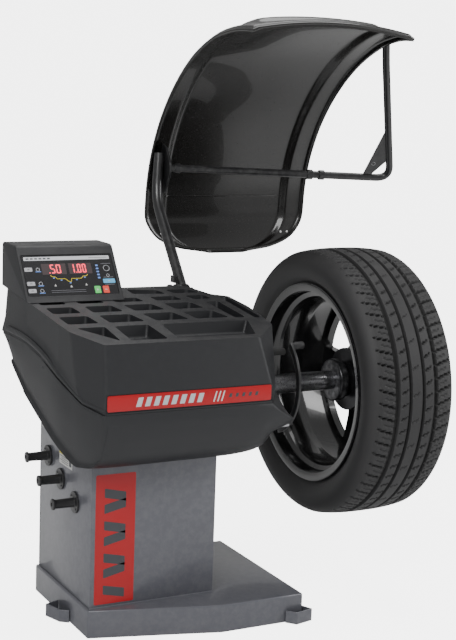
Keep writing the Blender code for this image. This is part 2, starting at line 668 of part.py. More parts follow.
def build_wheel(mats):
    build_rim(mats)
    smooth(finish("tyre", revolve_x(tyre_profile(), WHEEL_STEPS), mats["tyre_rubber"]), 40)
    stations = ((0.838, 0.2290), (0.850, 0.2205), (0.862, 0.2130), (0.892, 0.2060))
    path = [(x, *on_circle(SHAFT_Y, SHAFT_Z, r, radians(VALVE_ANGLE))) for x, r in stations]
    smooth(finish("valve_stem", sweep(path, 0.0040, 8), mats["rubber"]))


def build_clamping(mats):
    bore = STUB_RADIUS + 0.0004
    cone = ((0.7960, bore), (0.7960, 0.0395), (0.8125, 0.0325), (0.8340, 0.0235), (0.8340, bore))
    smooth(finish("centring_cone", revolve_x(cone, 24), mats["steel"]))
    turns, per_turn = 2.5, 12
    count = int(turns * per_turn)
    coil = []
    for i in range(count + 1):
        along = 0.7798 + 0.0138 * i / count
        coil.append((along, *on_circle(SHAFT_Y, SHAFT_Z, 0.030, 2 * pi * i / per_turn)))
    smooth(finish("cone_spring", sweep(coil, 0.0016, 6), mats["steel"]))
    start = FLANGE_FACE + 0.0015 + 0.026 + GAP
    cup = (
        (start, 0.052), (start, 0.058), (start + 0.030, 0.056), (start + 0.038, 0.040),
        (start + 0.038, bore), (start + 0.026, bore), (start + 0.026, 0.040), (start + 0.020, 0.052),
    )
    smooth(finish("pressure_cup", revolve_x(cup, 24), mats["black_plastic"], (start, SHAFT_Y, SHAFT_Z)))
    nut_x = start + 0.038 + GAP
    nut = ((0.0, bore), (0.0, 0.034), (0.004, 0.036), (0.030, 0.034), (0.040, 0.028), (0.040, bore))
    mesh = revolve_x([(nut_x + x, r) for x, r in nut], 24)
    body = finish("quick_nut", mesh, mats["black_steel"], (nut_x, SHAFT_Y, SHAFT_Z))
    wings = bmesh.new()
    for side in (-1, 1):
        y0, y1 = sorted((SHAFT_Y + side * 0.025, SHAFT_Y + side * 0.075))
        add_box(wings, (nut_x + 0.012, y0, SHAFT_Z - 0.009), (nut_x + 0.028, y1, SHAFT_Z + 0.009))
    helper = finish("quick_nut.wings", wings, None, helper=True)
    union = body.modifiers.new("wings", "BOOLEAN")
    union.operation = "UNION"
    union.solver = "EXACT"
    union.object = helper
    cut(body, disc_x(nut_x - 0.01, nut_x + 0.06, bore, 24), "bore")


# ---------------------------------------------------------------- head
def tray_top(y):
    return TRAY_HEIGHT + TRAY_SLOPE * y


def seam_height(y):
    """Height of the joint between the tray and the lower casing."""
    for (y0, z0), (y1, z1) in zip(SEAM_KNOTS, SEAM_KNOTS[1:]):
        if y <= y1:
            return z0 + (z1 - z0) * (y - y0) / (y1 - y0)
    return SEAM_KNOTS[-1][1]


def shrink(points, share, centre=(0.21, 0.17)):
    return [(centre[0] + (x - centre[0]) * share, centre[1] + (y - centre[1]) * share) for x, y in points]


def pocket_edge(i, y):
    """Place across the tray of a column's edge; the columns draw together a little towards the back."""
    front_y, rear_y = 0.098, 0.263
    front, rear = POCKET_EDGES_FRONT[i], POCKET_EDGES_REAR[i]
    return front + (rear - front) * (y - front_y) / (rear_y - front_y)


def pocket_outlines():
    """Plan outlines of the tray's pockets."""
    outlines = []
    for y0, y1 in POCKET_ROWS:
        for left in (0, 2, 4, 6):
            near = ((pocket_edge(left, y0), y0), (pocket_edge(left + 1, y0), y0))
            far = ((pocket_edge(left + 1, y1), y1), (pocket_edge(left, y1), y1))
            outlines.append(near + far)
    return outlines + list(ODD_POCKETS)


def build_tray(mats):
    top = [(*point, tray_top(point[1])) for point, *_ in HEAD_RINGS]
    ridge = [(*point, z) for _, point, z, _ in HEAD_RINGS]
    seam = [(*point, seam_height(point[1]) + GAP) for *_, point in HEAD_RINGS]
    foot = [(x, y, TRAY_FOOT) for x, y, _ in seam]
    tray = finish("weight_tray", loft((foot, seam, ridge, top)), mats["dark_plastic"])
    bevel(tray, 0.004, 2, 28)
    under = [(-0.2, 0.45), (0.6, 0.45)] + [(y, z + GAP) for y, z in reversed(SEAM_KNOTS)]
    under.append((-0.2, SEAM_KNOTS[0][1] + GAP))
    cut(tray, prism_x(under, -0.2, 0.6), "below_seam")
    low = [(*p, TRAY_FOOT) for p in shrink([ring[3] for ring in HEAD_RINGS], 0.965)]
    heights = [ring[2] for ring in HEAD_RINGS]
    mid = [(*p, z) for p, z in zip(shrink([ring[1] for ring in HEAD_RINGS], 0.960), heights)]
    high = [(*p, tray_top(p[1]) - TRAY_SLAB) for p in shrink([ring[0] for ring in HEAD_RINGS], 0.955)]
    cut(tray, loft((low, mid, high)), "inside")
    pockets = bmesh.new()
    for outline in pocket_outlines():
        floor = [(x, y, tray_top(y) - POCKET_DEPTH) for x, y in outline]
        mouth = [(x, y, tray_top(y) + 0.02) for x, y in outline]
        add_loft(pockets, (floor, mouth))
    cut(tray, pockets, "pockets")
    cut(tray, box((-0.0115, -0.13, 0.5630), (0.4065, -0.1100, 0.6045)), "band_recess")
    clear = 0.004
    slot = box((BRACKET_X[0] - clear, 0.34, 0.54), (BRACKET_X[1] + clear, 0.50, 0.700))
    cut(tray, slot, "bracket_slot")
    cut(tray, disc_x(0.42, 0.50, 0.0095, 16, 0.0, 0.655), "rest_hole")


def casing_station(y, left, right, bottom, bulge, inset=0.0):
    """Section of the lower casing across the machine at y, from left top round to right top."""
    seam = seam_height(y) - GAP
    height = seam - bottom
    left, right, bottom = left + inset, right - inset, bottom + inset
    top = seam + (0.03 if inset else 0.0)
    return [
        (left, y, top),
        (left, y, seam - 0.10 * height),
        (left + 0.010, y, bottom + 0.10 * height),
        (left + 0.026, y, bottom),
        (left + 0.5 * (right - left), y, bottom),
        (right - 0.100, y, bottom + 0.02 * height),
        (right - 0.010, y, bottom + 0.30 * height),
        (right + bulge, y, bottom + 0.50 * height),
        (right + 0.7 * bulge, y, bottom + 0.62 * height),
        (right, y, top),
    ]


def build_casing(mats):
    rings = [casing_station(*station) for station in CASING_STATIONS]
    casing = finish("head_lower_casing", loft(rings), mats["dark_plastic"])
    bevel(casing, 0.004, 2, 40)
    inner = []
    for station in CASING_STATIONS[1:-1]:
        inner.append(casing_station(*station, inset=0.005))
    cut(casing, loft(inner), "inside")
    margin = 0.0025
    (x0, x1), (y0, y1) = COLUMN_X, COLUMN_Y
    back = y1 + GAP + COVER_THICK
    cut(casing, box((x0 - margin, y0 - margin, 0.38), (x1 + margin, back + margin, 0.63)), "column_opening")
    cut(casing, disc_x(0.325, 0.56, 0.065, 32), "spindle_opening")
    cut(casing, disc_x(0.325, 0.56, 0.016, 16, GAUGE_Y, GAUGE_Z), "gauge_opening")
    clear = 0.004
    slot = box((BRACKET_X[0] - clear, 0.34, 0.50), (BRACKET_X[1] + clear, 0.50, 0.70))
    cut(casing, slot, "bracket_slot")


def build_console(mats):
    left, right = CONSOLE_X
    wall = 0.005
    console = finish("console_housing", prism_x(CONSOLE_PROFILE, left, right), mats["dark_plastic"])
    bevel(console, 0.004, 2, 28)
    cut(console, prism_x(CONSOLE_HOLLOW, left + wall, right - wall), "inside")
    (x0, x1), (v0, v1) = PANEL_X, PANEL_V
    window = loft(face_block(x0 - 2 * GAP, x1 + 2 * GAP, v0 - 2 * GAP, v1 + 2 * GAP, -0.004, 0.02))
    cut(console, window, "panel_recess")
    ledge = 0.001
    opening = loft(face_block(x0 + ledge, x1 - ledge, v0 + ledge, v1 - ledge, -0.02, 0.01))
    cut(console, opening, "panel_opening")


def build_display(mats):
    (x0, x1), (v0, v1) = PANEL_X, PANEL_V
    back, front = -0.0037, -0.0037 + PANEL_THICK
    panel = finish("display_panel", loft(face_block(x0, x1, v0, v1, back, front)), mats["screen"])
    holes = bmesh.new()
    clear = 2 * GAP
    for left, right, low, high in KEYS.values():
        hole = face_block(left - clear, right + clear, low - clear, high + clear, -0.02, 0.02)
        add_loft(holes, hole)
    cut(panel, holes, "key_holes")
    board = loft(face_block(x0 + 0.004, x1 - 0.004, v0 + 0.004, v1 - 0.004, -0.0125, -0.0110))
    finish("display_board", board, mats["circuit_board"])
    colours = {"key_function": "blue_key", "key_start": "green_key", "key_stop": "red_key"}
    for name, (left, right, low, high) in KEYS.items():
        middle = on_face((left + right) / 2, (low + high) / 2, front)
        key = loft(face_block(left, right, low, high, -0.0075, front + 0.0012))
        material = mats[colours.get(name, "silver_key")]
        bevel(finish(name, key, material, middle), 0.0004, 1)


def build_band(mats):
    finish("front_band", box((-0.0085, -0.1112, 0.5655), (0.4035, -0.1103, 0.6020)), mats["red_film"])


# ---------------------------------------------------------------- guard
def guard_frames():
    """Centre points of the shell's back with the inward direction at each."""
    points = [Vector((0.0, y, z)) for y, z, _, _ in GUARD_ARC]
    frames = []
    for i, point in enumerate(points):
        along = (points[min(i + 1, len(points) - 1)] - points[max(i - 1, 0)]).normalized()
        inward = Vector((0.0, -along.z, along.y))
        frames.append((point, along, inward))
    return frames


def guard_section(point, inward, depth, half, middle, back, extra):
    """Rectangle across the shell with its back corners cut off."""
    chamfer = min(0.022, depth * 0.4)
    outline = (
        (-half, depth + extra), (-half, back + chamfer), (-half + chamfer, back),
        (half - chamfer, back), (half, back + chamfer), (half, depth + extra),
    )
    return [point + inward * d + Vector((middle + x, 0.0, 0.0)) for x, d in outline]


def build_guard_shell(mats):
    middle = sum(GUARD_X) / 2
    width = (GUARD_X[1] - GUARD_X[0]) / 2
    outer, inner = [], []
    sheet = GUARD_SHEET
    last = len(GUARD_ARC) - 1
    for i, ((point, along, inward), (_, _, depth, share)) in enumerate(zip(guard_frames(), GUARD_ARC)):
        half = width * share
        outer.append(guard_section(point, inward, depth, half, middle, 0.0, 0.0))
        shift = along * (sheet if i == 0 else -sheet if i == last else 0.0)
        inner.append(guard_section(point + shift, inward, depth, half - sheet, middle, sheet, 0.03))
    shell = finish("guard_shell", loft(outer), mats["black_plastic"], (GUARD_ARM_X, *GUARD_PIVOT))
    cut(shell, loft(inner), "inside")
    smooth(shell, 40)


def build_guard_frame(mats):
    pivot_y, pivot_z = GUARD_PIVOT
    x = GUARD_ARM_X
    corners = ((x, pivot_y + 0.010, pivot_z + 0.0125), (x, 0.643, 0.968), (x, 0.672, 1.100))
    arm_path = rounded_path(corners, 0.05, 5)
    origin = (x, pivot_y, pivot_z)
    arm = finish("guard_arm", sweep(arm_path, GUARD_ARM_RADIUS, 16), mats["black_paint"], origin)
    cut(arm, disc_x(x - 0.03, x + 0.03, 0.0125, 24, pivot_y, pivot_z), "pivot_hole")
    smooth(arm)
    path = rounded_path(GUARD_TUBE_PATH, 0.045, 6)
    smooth(finish("guard_tube", sweep(path, GUARD_TUBE_RADIUS, 12), mats["black_paint"], origin))


def build_guard_gusset(mats):
    corner, low, high = (Vector(GUARD_TUBE_PATH[i]) for i in (1, 0, 2))
    to_left = (low - corner).normalized()
    to_top = (high - corner).normalized()
    inside = (to_left + to_top).normalized()
    across = to_left.cross(to_top).normalized() * 0.0015
    clear = GUARD_TUBE_RADIUS + 2 * GAP
    left_off = (inside - to_left * inside.dot(to_left)).normalized() * clear
    top_off = (inside - to_top * inside.dot(to_top)).normalized() * clear
    outline = (
        corner + to_left * 0.060 + left_off, corner + to_left * 0.085 + left_off,
        corner + to_top * 0.160 + top_off, corner + to_top * 0.060 + top_off,
    )
    mesh = loft([[p - across for p in outline], [p + across for p in outline]])
    finish("guard_gusset", mesh, mats["black_paint"], (GUARD_ARM_X, *GUARD_PIVOT))


def build_guard_hinge(mats):
    y, z = GUARD_PIVOT
    shaft = ((0.378, 0.0), (0.378, 0.011), (0.379, 0.012), (0.469, 0.012), (0.470, 0.011), (0.470, 0.0))
    smooth(finish("guard_shaft", revolve_x(shaft, 24, y, z), mats["steel"], (0.443, y, z)))
    angles = [radians(-60 + 22 * i) for i in range(11)]
    boss = [on_circle(y, z, 0.022, a) for a in angles]
    foot = COLUMN_TOP + HEAD_PLATE_THICK + 0.0015
    right_side = [(0.340, foot), (0.398, foot), (0.430, 0.640)]
    left_side = [(0.418, 0.700), (0.392, 0.640), (0.340, 0.628)]
    bracket = finish("guard_bracket", prism_x(right_side + boss + left_side, *BRACKET_X), mats["black_paint"])
    cut(bracket, disc_x(0.39, 0.42, 0.0123, 24, y, z), "bore")


def build_guard_safety(mats):
    y, z = GUARD_PIVOT
    steps, notch = 24, range(3, 7)
    rim = []
    for i in range(steps):
        radius = 0.019 if i in notch else 0.024
        rim.append(on_circle(y, z, radius, 2 * pi * i / steps))
    cam = finish("guard_cam", prism_x(rim, 0.4115, 0.4175), mats["steel"], (0.4145, y, z))
    cut(cam, disc_x(0.40, 0.43, 0.0123, 24, y, z), "bore")
    switch = box((0.4095, y - 0.012, z + 0.0265), (0.4215, y + 0.012, z + 0.045))
    finish("guard_switch", switch, mats["black_plastic"])


# ---------------------------------------------------------------- gauge
def build_gauge_knob(mats, x, y, z):
    profile = (
        (0.0, 0.0), (0.0, 0.0075), (0.010, 0.0075), (0.013, 0.0095), (0.032, 0.0095), (0.0355, 0.0070),
        (0.0355, 0.0),
    )
    knob = revolve_x([(x + along, radius) for along, radius in profile], 18, y, z)
    smooth(finish("gauge_knob", knob, mats["black_plastic"], (x, GAUGE_Y, GAUGE_Z)))


def build_gauge(mats):
    rod = ((0.240, 0.0), (0.240, 0.0070), (0.4997, 0.0070), (0.4997, 0.0))
    smooth(finish("gauge_rod", revolve_x(rod, 16, GAUGE_Y, GAUGE_Z), mats["steel"]))
    guide = ((0.3300, 0.0076), (0.3300, 0.0130), (0.3900, 0.0130), (0.3900, 0.0076))
    smooth(finish("gauge_guide", revolve_x(guide, 16, GAUGE_Y, GAUGE_Z), mats["black_plastic"]))
    angles = [radians(128 + (253 - 128) * i / 14) for i in range(15)]
    half = 0.008
    outer = [on_circle(*GAUGE_ARC_CENTRE, GAUGE_ARC_RADIUS + half, a) for a in angles]
    inner = [on_circle(*GAUGE_ARC_CENTRE, GAUGE_ARC_RADIUS - half, a) for a in reversed(angles)]
    band = prism_x(outer + inner, *GAUGE_ARM_X)
    arm = finish("gauge_arm", band, mats["black_paint"], (sum(GAUGE_ARM_X) / 2, GAUGE_Y, GAUGE_Z))
    bevel(arm, 0.001, 1)
    tip_y, tip_z = on_circle(*GAUGE_ARC_CENTRE, GAUGE_ARC_RADIUS, angles[0])
    build_gauge_knob(mats, GAUGE_ARM_X[1] + GAP, tip_y + 0.004, tip_z - 0.002)
    rest = ((0.446, 0.0), (0.446, 0.0085), (0.496, 0.0085), (0.4985, 0.0065), (0.4985, 0.0))
    smooth(finish("gauge_rest", revolve_x(rest, 16, 0.0, 0.655), mats["rubber"]))


def clear_scene():
    for item in list(bpy.data.objects):
        bpy.data.objects.remove(item)


def main():
    clear_scene()
    mats = make_materials()
    build_base(mats)
    build_column(mats)
    build_rear_cover(mats)
    build_head_plate(mats)
    build_shelf(mats)
    build_pegs(mats)
    build_housing(mats)
    build_spindle(mats)
    build_encoder(mats)
    build_motor(mats)
    build_belt(mats)
    build_sensors(mats)
    build_electrics(mats)
    build_wheel(mats)
    build_clamping(mats)
    build_tray(mats)
    build_casing(mats)
    build_console(mats)
    build_display(mats)
    build_band(mats)
    build_guard_shell(mats)
    build_guard_frame(mats)
    build_guard_gusset(mats)
    build_guard_hinge(mats)
    build_guard_safety(mats)
    build_gauge(mats)


main()
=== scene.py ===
"""The looks of a wheel balancer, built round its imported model.

Every piece is modelled in machine coordinates, in metres: X to the right along the spindle, Y to the
back and Z up, from the base's front left floor corner. Workshop.piece moves it into the row's frame
and hands it to the body that carries it.
"""

import logging
import math
from dataclasses import dataclass, field
from enum import Enum
from typing import Callable, Iterable, Sequence

import bmesh
import bpy
from bmesh.types import BMesh
from mathutils import Matrix, Vector


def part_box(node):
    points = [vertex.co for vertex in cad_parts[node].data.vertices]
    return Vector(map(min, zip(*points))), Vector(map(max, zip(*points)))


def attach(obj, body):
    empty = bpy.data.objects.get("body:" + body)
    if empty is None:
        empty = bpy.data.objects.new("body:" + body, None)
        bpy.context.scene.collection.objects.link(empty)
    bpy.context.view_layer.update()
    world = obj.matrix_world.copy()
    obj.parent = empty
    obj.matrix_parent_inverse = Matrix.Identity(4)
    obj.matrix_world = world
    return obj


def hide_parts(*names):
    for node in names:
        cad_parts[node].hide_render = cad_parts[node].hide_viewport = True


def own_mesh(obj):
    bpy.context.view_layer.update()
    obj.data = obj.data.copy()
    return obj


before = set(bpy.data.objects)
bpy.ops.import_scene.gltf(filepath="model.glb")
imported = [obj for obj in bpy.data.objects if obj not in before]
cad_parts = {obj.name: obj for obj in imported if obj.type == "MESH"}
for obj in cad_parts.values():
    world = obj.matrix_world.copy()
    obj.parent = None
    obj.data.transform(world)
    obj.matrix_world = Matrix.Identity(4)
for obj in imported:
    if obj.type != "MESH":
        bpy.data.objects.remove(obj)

LOG = logging.getLogger("wheel_balancer")
BASE_FRONT_REACH = 0.086  # how far the base's front edge stands before the floor corner
MERGE = 1e-5
UPRIGHT, LEVEL = 0.99, 0.01  # an edge's share along a direction that counts as along it, and as across it
ABOVE = 0.0003  # how far a sticker or a printed mark stands off the sheet under it

Point = Sequence[float]
Colour = tuple[float, float, float]


# ---------------------------------------------------------------- finishes
class Look(Enum):
    """Every finish that the machine's pieces take."""

    SLATE_PAINT = "slate_paint"
    CASING_PLASTIC = "dark_plastic"
    SMALL_PLASTIC = "black_plastic"
    GUARD_PLASTIC = "gloss_black_plastic"
    BLACK_COAT = "black_paint"
    BAND_FILM = "red_film"
    SCREEN = "screen"
    SILVER_KEY = "silver_key"
    BLUE_KEY = "blue_key"
    GREEN_KEY = "green_key"
    RED_KEY = "red_key"
    BRIGHT_STEEL = "steel"
    DARK_STEEL = "black_steel"
    CAST_IRON = "cast_iron"
    ALUMINIUM = "aluminium"
    RIM_PAINT = "rim_paint"
    TYRE_RUBBER = "tyre_rubber"
    RUBBER = "rubber"
    BOARD = "circuit_board"
    CERAMIC = "ceramic"


class GroupInput(Enum):
    """Kinds of socket on a shared node group."""

    VECTOR = "NodeSocketVector"
    NUMBER = "NodeSocketFloat"


@dataclass
class Wiring:
    """Nodes and links of one tree."""

    tree: bpy.types.NodeTree

    def add(self, kind: str, **settings: object) -> bpy.types.Node:
        """Adds a node.

        Args:
            kind: Blender's class name of the node.
            settings: attributes of the node, or input values by the socket's name with _ for a space.

        Returns:
            The new node.
        """
        node = self.tree.nodes.new(kind)
        for name, value in settings.items():
            if hasattr(node, name):
                setattr(node, name, value)
            else:
                node.inputs[name.replace("_", " ")].default_value = value
        return node

    def join(self, source: bpy.types.NodeSocket, target: bpy.types.NodeSocket) -> None:
        """Links two sockets."""
        self.tree.links.new(source, target)

    def mix(self, share: bpy.types.NodeSocket, low: object, high: object) -> bpy.types.NodeSocket:
        """Mixes two colours.

        Args:
            share: socket with the share of the second colour.
            low: a colour or a socket.
            high: a colour or a socket.

        Returns:
            The socket with the mixed colour.
        """
        node = self.add("ShaderNodeMix", data_type="RGBA")
        self.join(share, node.inputs[0])
        for value, target in ((low, node.inputs[6]), (high, node.inputs[7])):
            if isinstance(value, bpy.types.NodeSocket):
                self.join(value, target)
            else:
                target.default_value = (*value, 1.0)
        return node.outputs[2]

    def calculate(self, operation: str, first: object, second: object,
                  third: object = 0.0) -> bpy.types.NodeSocket:
        """Adds a Math node.

        Args:
            operation: its operation.
            first: a number or a socket.
            second: a number or a socket.
            third: a number or a socket.

        Returns:
            The socket with the result.
        """
        node = self.add("ShaderNodeMath", operation=operation)
        for value, target in zip((first, second, third), node.inputs):
            if isinstance(value, bpy.types.NodeSocket):
                self.join(value, target)
            else:
                target.default_value = value
        return node.outputs[0]


class SharedEffects:
    """Node groups that more than one finish uses, each built once."""

    def __init__(self) -> None:
        """Builds the groups."""
        self.grain = self._grain()
        self.wear = self._wear()
        self.dust = self._dust()

    @staticmethod
    def _group(
        name: str, inputs: dict[str, GroupInput], outputs: Iterable[str]
    ) -> tuple[Wiring, bpy.types.Node, bpy.types.Node]:
        """Starts a group.

        Args:
            name: the group's name.
            inputs: its input sockets.
            outputs: names of its number outputs.

        Returns:
            Its wiring, its input node and its output node.
        """
        tree = bpy.data.node_groups.new(name, "ShaderNodeTree")
        for label, kind in inputs.items():
            tree.interface.new_socket(label, in_out="INPUT", socket_type=kind.value)
        for label in outputs:
            tree.interface.new_socket(label, in_out="OUTPUT", socket_type="NodeSocketFloat")
        wiring = Wiring(tree)
        return wiring, wiring.add("NodeGroupInput"), wiring.add("NodeGroupOutput")

    def _grain(self) -> bpy.types.NodeTree:
        """Fine pebbled relief with a broad mottling under it."""
        inputs = {"Vector": GroupInput.VECTOR, "Scale": GroupInput.NUMBER}
        wiring, given, result = self._group("surface_grain", inputs, ("Fine", "Broad"))
        noise = wiring.add("ShaderNodeTexNoise", Detail=3.0, Roughness=0.6)
        cells = wiring.add("ShaderNodeTexVoronoi", feature="SMOOTH_F1")
        broad = wiring.add("ShaderNodeTexNoise", Scale=9.0, Detail=4.0, Roughness=0.65)
        for node in (noise, cells, broad):
            wiring.join(given.outputs["Vector"], node.inputs["Vector"])
        wiring.join(given.outputs["Scale"], noise.inputs["Scale"])
        wiring.join(given.outputs["Scale"], cells.inputs["Scale"])
        fine = wiring.calculate("MULTIPLY_ADD", cells.outputs["Distance"], 0.5, noise.outputs[0])
        wiring.join(wiring.calculate("MULTIPLY", fine, 0.7), result.inputs["Fine"])
        wiring.join(broad.outputs[0], result.inputs["Broad"])
        return wiring.tree

    def _wear(self) -> bpy.types.NodeTree:
        """Rubbed edges, broken up by noise."""
        inputs = {"Vector": GroupInput.VECTOR, "Amount": GroupInput.NUMBER}
        wiring, given, result = self._group("edge_wear", inputs, ("Mask",))
        shape = wiring.add("ShaderNodeNewGeometry")
        noise = wiring.add("ShaderNodeTexNoise", Scale=60.0, Detail=5.0, Roughness=0.7)
        wiring.join(given.outputs["Vector"], noise.inputs["Vector"])
        edge = wiring.add("ShaderNodeMapRange", From_Min=0.515, From_Max=0.6)
        wiring.join(shape.outputs["Pointiness"], edge.inputs["Value"])
        broken = wiring.add("ShaderNodeMapRange", From_Min=0.42, From_Max=0.62)
        wiring.join(noise.outputs[0], broken.inputs["Value"])
        worn = wiring.calculate("MULTIPLY", edge.outputs[0], broken.outputs[0])
        wiring.join(wiring.calculate("MULTIPLY", worn, given.outputs["Amount"]), result.inputs["Mask"])
        return wiring.tree

    def _dust(self) -> bpy.types.NodeTree:
        """Dust that settles on what faces up."""
        inputs = {"Vector": GroupInput.VECTOR, "Amount": GroupInput.NUMBER}
        wiring, given, result = self._group("settled_dust", inputs, ("Mask",))
        shape = wiring.add("ShaderNodeNewGeometry")
        parts = wiring.add("ShaderNodeSeparateXYZ")
        wiring.join(shape.outputs["Normal"], parts.inputs[0])
        up = wiring.add("ShaderNodeMapRange", From_Min=0.2, From_Max=1.0)
        wiring.join(parts.outputs["Z"], up.inputs["Value"])
        noise = wiring.add("ShaderNodeTexNoise", Scale=26.0, Detail=6.0, Roughness=0.75)
        wiring.join(given.outputs["Vector"], noise.inputs["Vector"])
        patchy = wiring.add("ShaderNodeMapRange", From_Min=0.35, From_Max=0.75)
        wiring.join(noise.outputs[0], patchy.inputs["Value"])
        settled = wiring.calculate("MULTIPLY", up.outputs[0], patchy.outputs[0])
        wiring.join(wiring.calculate("MULTIPLY", settled, given.outputs["Amount"]), result.inputs["Mask"])
        return wiring.tree


@dataclass(frozen=True)
class Finish:
    """A mottled, grained surface with worn edges and settled dust."""

    look: Look
    colour: Colour
    shade: Colour
    roughness: float
    spread: float = 0.1
    metallic: float = 0.0
    grain: float = 900.0
    relief: float = 0.1
    wear: float = 0.0
    bare: Colour = (0.3, 0.3, 0.31)
    dust: float = 0.0
    coat: float = 0.0
    specular: float = 0.5

    def build(self, effects: SharedEffects) -> bpy.types.Material:
        """Makes the material.

        Args:
            effects: the shared node groups.

        Returns:
            The material.
        """
        material = bpy.data.materials.new(self.look.value)
        material.use_nodes = True
        wiring = Wiring(material.node_tree)
        shader = material.node_tree.nodes["Principled BSDF"]
        place = wiring.add("ShaderNodeTexCoord").outputs["Object"]
        colour, fine = self._colour(wiring, effects, place)
        wiring.join(colour, shader.inputs["Base Color"])
        rough = wiring.calculate("MULTIPLY_ADD", fine, self.spread, self.roughness - 0.5 * self.spread)
        wiring.join(rough, shader.inputs["Roughness"])
        shader.inputs["Metallic"].default_value = self.metallic
        shader.inputs["Coat Weight"].default_value = self.coat
        shader.inputs["Specular IOR Level"].default_value = self.specular
        bump = wiring.add("ShaderNodeBump", Strength=self.relief, Distance=0.0006)
        wiring.join(self._height(wiring, fine, place), bump.inputs["Height"])
        wiring.join(bump.outputs[0], shader.inputs["Normal"])
        return material

    def _colour(
        self, wiring: Wiring, effects: SharedEffects, place: bpy.types.NodeSocket
    ) -> tuple[bpy.types.NodeSocket, bpy.types.NodeSocket]:
        """Wires the colour.

        Args:
            wiring: the material's nodes.
            effects: the shared node groups.
            place: socket with the place on the piece.

        Returns:
            The sockets of the colour and of the fine grain.
        """
        grain = self._use(wiring, effects.grain, place, Scale=self.grain)
        wear = self._use(wiring, effects.wear, place, Amount=self.wear)
        dust = self._use(wiring, effects.dust, place, Amount=self.dust)
        body = wiring.mix(grain.outputs["Broad"], self.colour, self.shade)
        worn = wiring.mix(wear.outputs["Mask"], body, self.bare)
        dusty = wiring.mix(dust.outputs["Mask"], worn, (0.26, 0.25, 0.235))
        return dusty, grain.outputs["Fine"]

    def _height(
        self, wiring: Wiring, fine: bpy.types.NodeSocket, place: bpy.types.NodeSocket
    ) -> bpy.types.NodeSocket:
        """The relief's height, which is the grain's own unless a finish changes it."""
        return fine

    @staticmethod
    def _use(
        wiring: Wiring, group: bpy.types.NodeTree, place: bpy.types.NodeSocket, **values: float
    ) -> bpy.types.Node:
        """Places a shared group.

        Args:
            wiring: the material's nodes.
            group: the shared group.
            place: socket with the place on the piece.
            values: the group's own numbers.

        Returns:
            The group's node.
        """
        node = wiring.add("ShaderNodeGroup", node_tree=group)
        wiring.join(place, node.inputs["Vector"])
        for name, value in values.items():
            node.inputs[name].default_value = value
        return node


@dataclass(frozen=True)
class TurnedMetal(Finish):
    """Metal with the fine rings that a lathe leaves round the spindle's axis."""

    rings: float = 700.0

    def _height(
        self, wiring: Wiring, fine: bpy.types.NodeSocket, place: bpy.types.NodeSocket
    ) -> bpy.types.NodeSocket:
        """Adds fine bands across the length to the grain."""
        bands = wiring.add("ShaderNodeTexWave", Scale=self.rings, Distortion=1.5, Detail=2.0)
        wiring.join(place, bands.inputs["Vector"])
        return wiring.calculate("MULTIPLY_ADD", bands.outputs["Fac"], 0.6, fine)


@dataclass(frozen=True)
class TreadRubberWithGrooveShade(Finish):
    """Tyre rubber with painted shade down in its grooves."""

    # colour of the painted shade at the bottom of the grooves
    floor: Colour = (0.004, 0.004, 0.004)

    def _colour(
        self, wiring: Wiring, effects: SharedEffects, place: bpy.types.NodeSocket
    ) -> tuple[bpy.types.NodeSocket, bpy.types.NodeSocket]:
        """Paints shade into the grooves, darker with the depth kept on the mesh."""
        colour, fine = super()._colour(wiring, effects, place)
        depth = wiring.add("ShaderNodeAttribute", attribute_name="groove_depth")
        # the groove depth blends the rubber into the painted shade
        return wiring.mix(depth.outputs["Fac"], colour, self.floor), fine


@dataclass(frozen=True)
class Print:
    """Ink or a lit segment on a flat film."""

    name: str
    colour: Colour
    glow: float = 0.0
    roughness: float = 0.35
    metallic: float = 0.0

    def build(self, effects: SharedEffects) -> bpy.types.Material:
        """Makes the material, with a slight unevenness in its colour and gloss."""
        material = bpy.data.materials.new(self.name)
        material.use_nodes = True
        wiring = Wiring(material.node_tree)
        shader = material.node_tree.nodes["Principled BSDF"]
        place = wiring.add("ShaderNodeTexCoord").outputs["Object"]
        grain = Finish._use(wiring, effects.grain, place, Scale=1500.0)
        darker = tuple(0.82 * part for part in self.colour)
        wiring.join(wiring.mix(grain.outputs["Broad"], darker, self.colour), shader.inputs["Base Color"])
        rough = wiring.calculate("MULTIPLY_ADD", grain.outputs["Fine"], 0.1, self.roughness)
        wiring.join(rough, shader.inputs["Roughness"])
        shader.inputs["Metallic"].default_value = self.metallic
        if self.glow:
            shader.inputs["Emission Color"].default_value = (*self.colour, 1.0)
            shader.inputs["Emission Strength"].default_value = self.glow
        return material


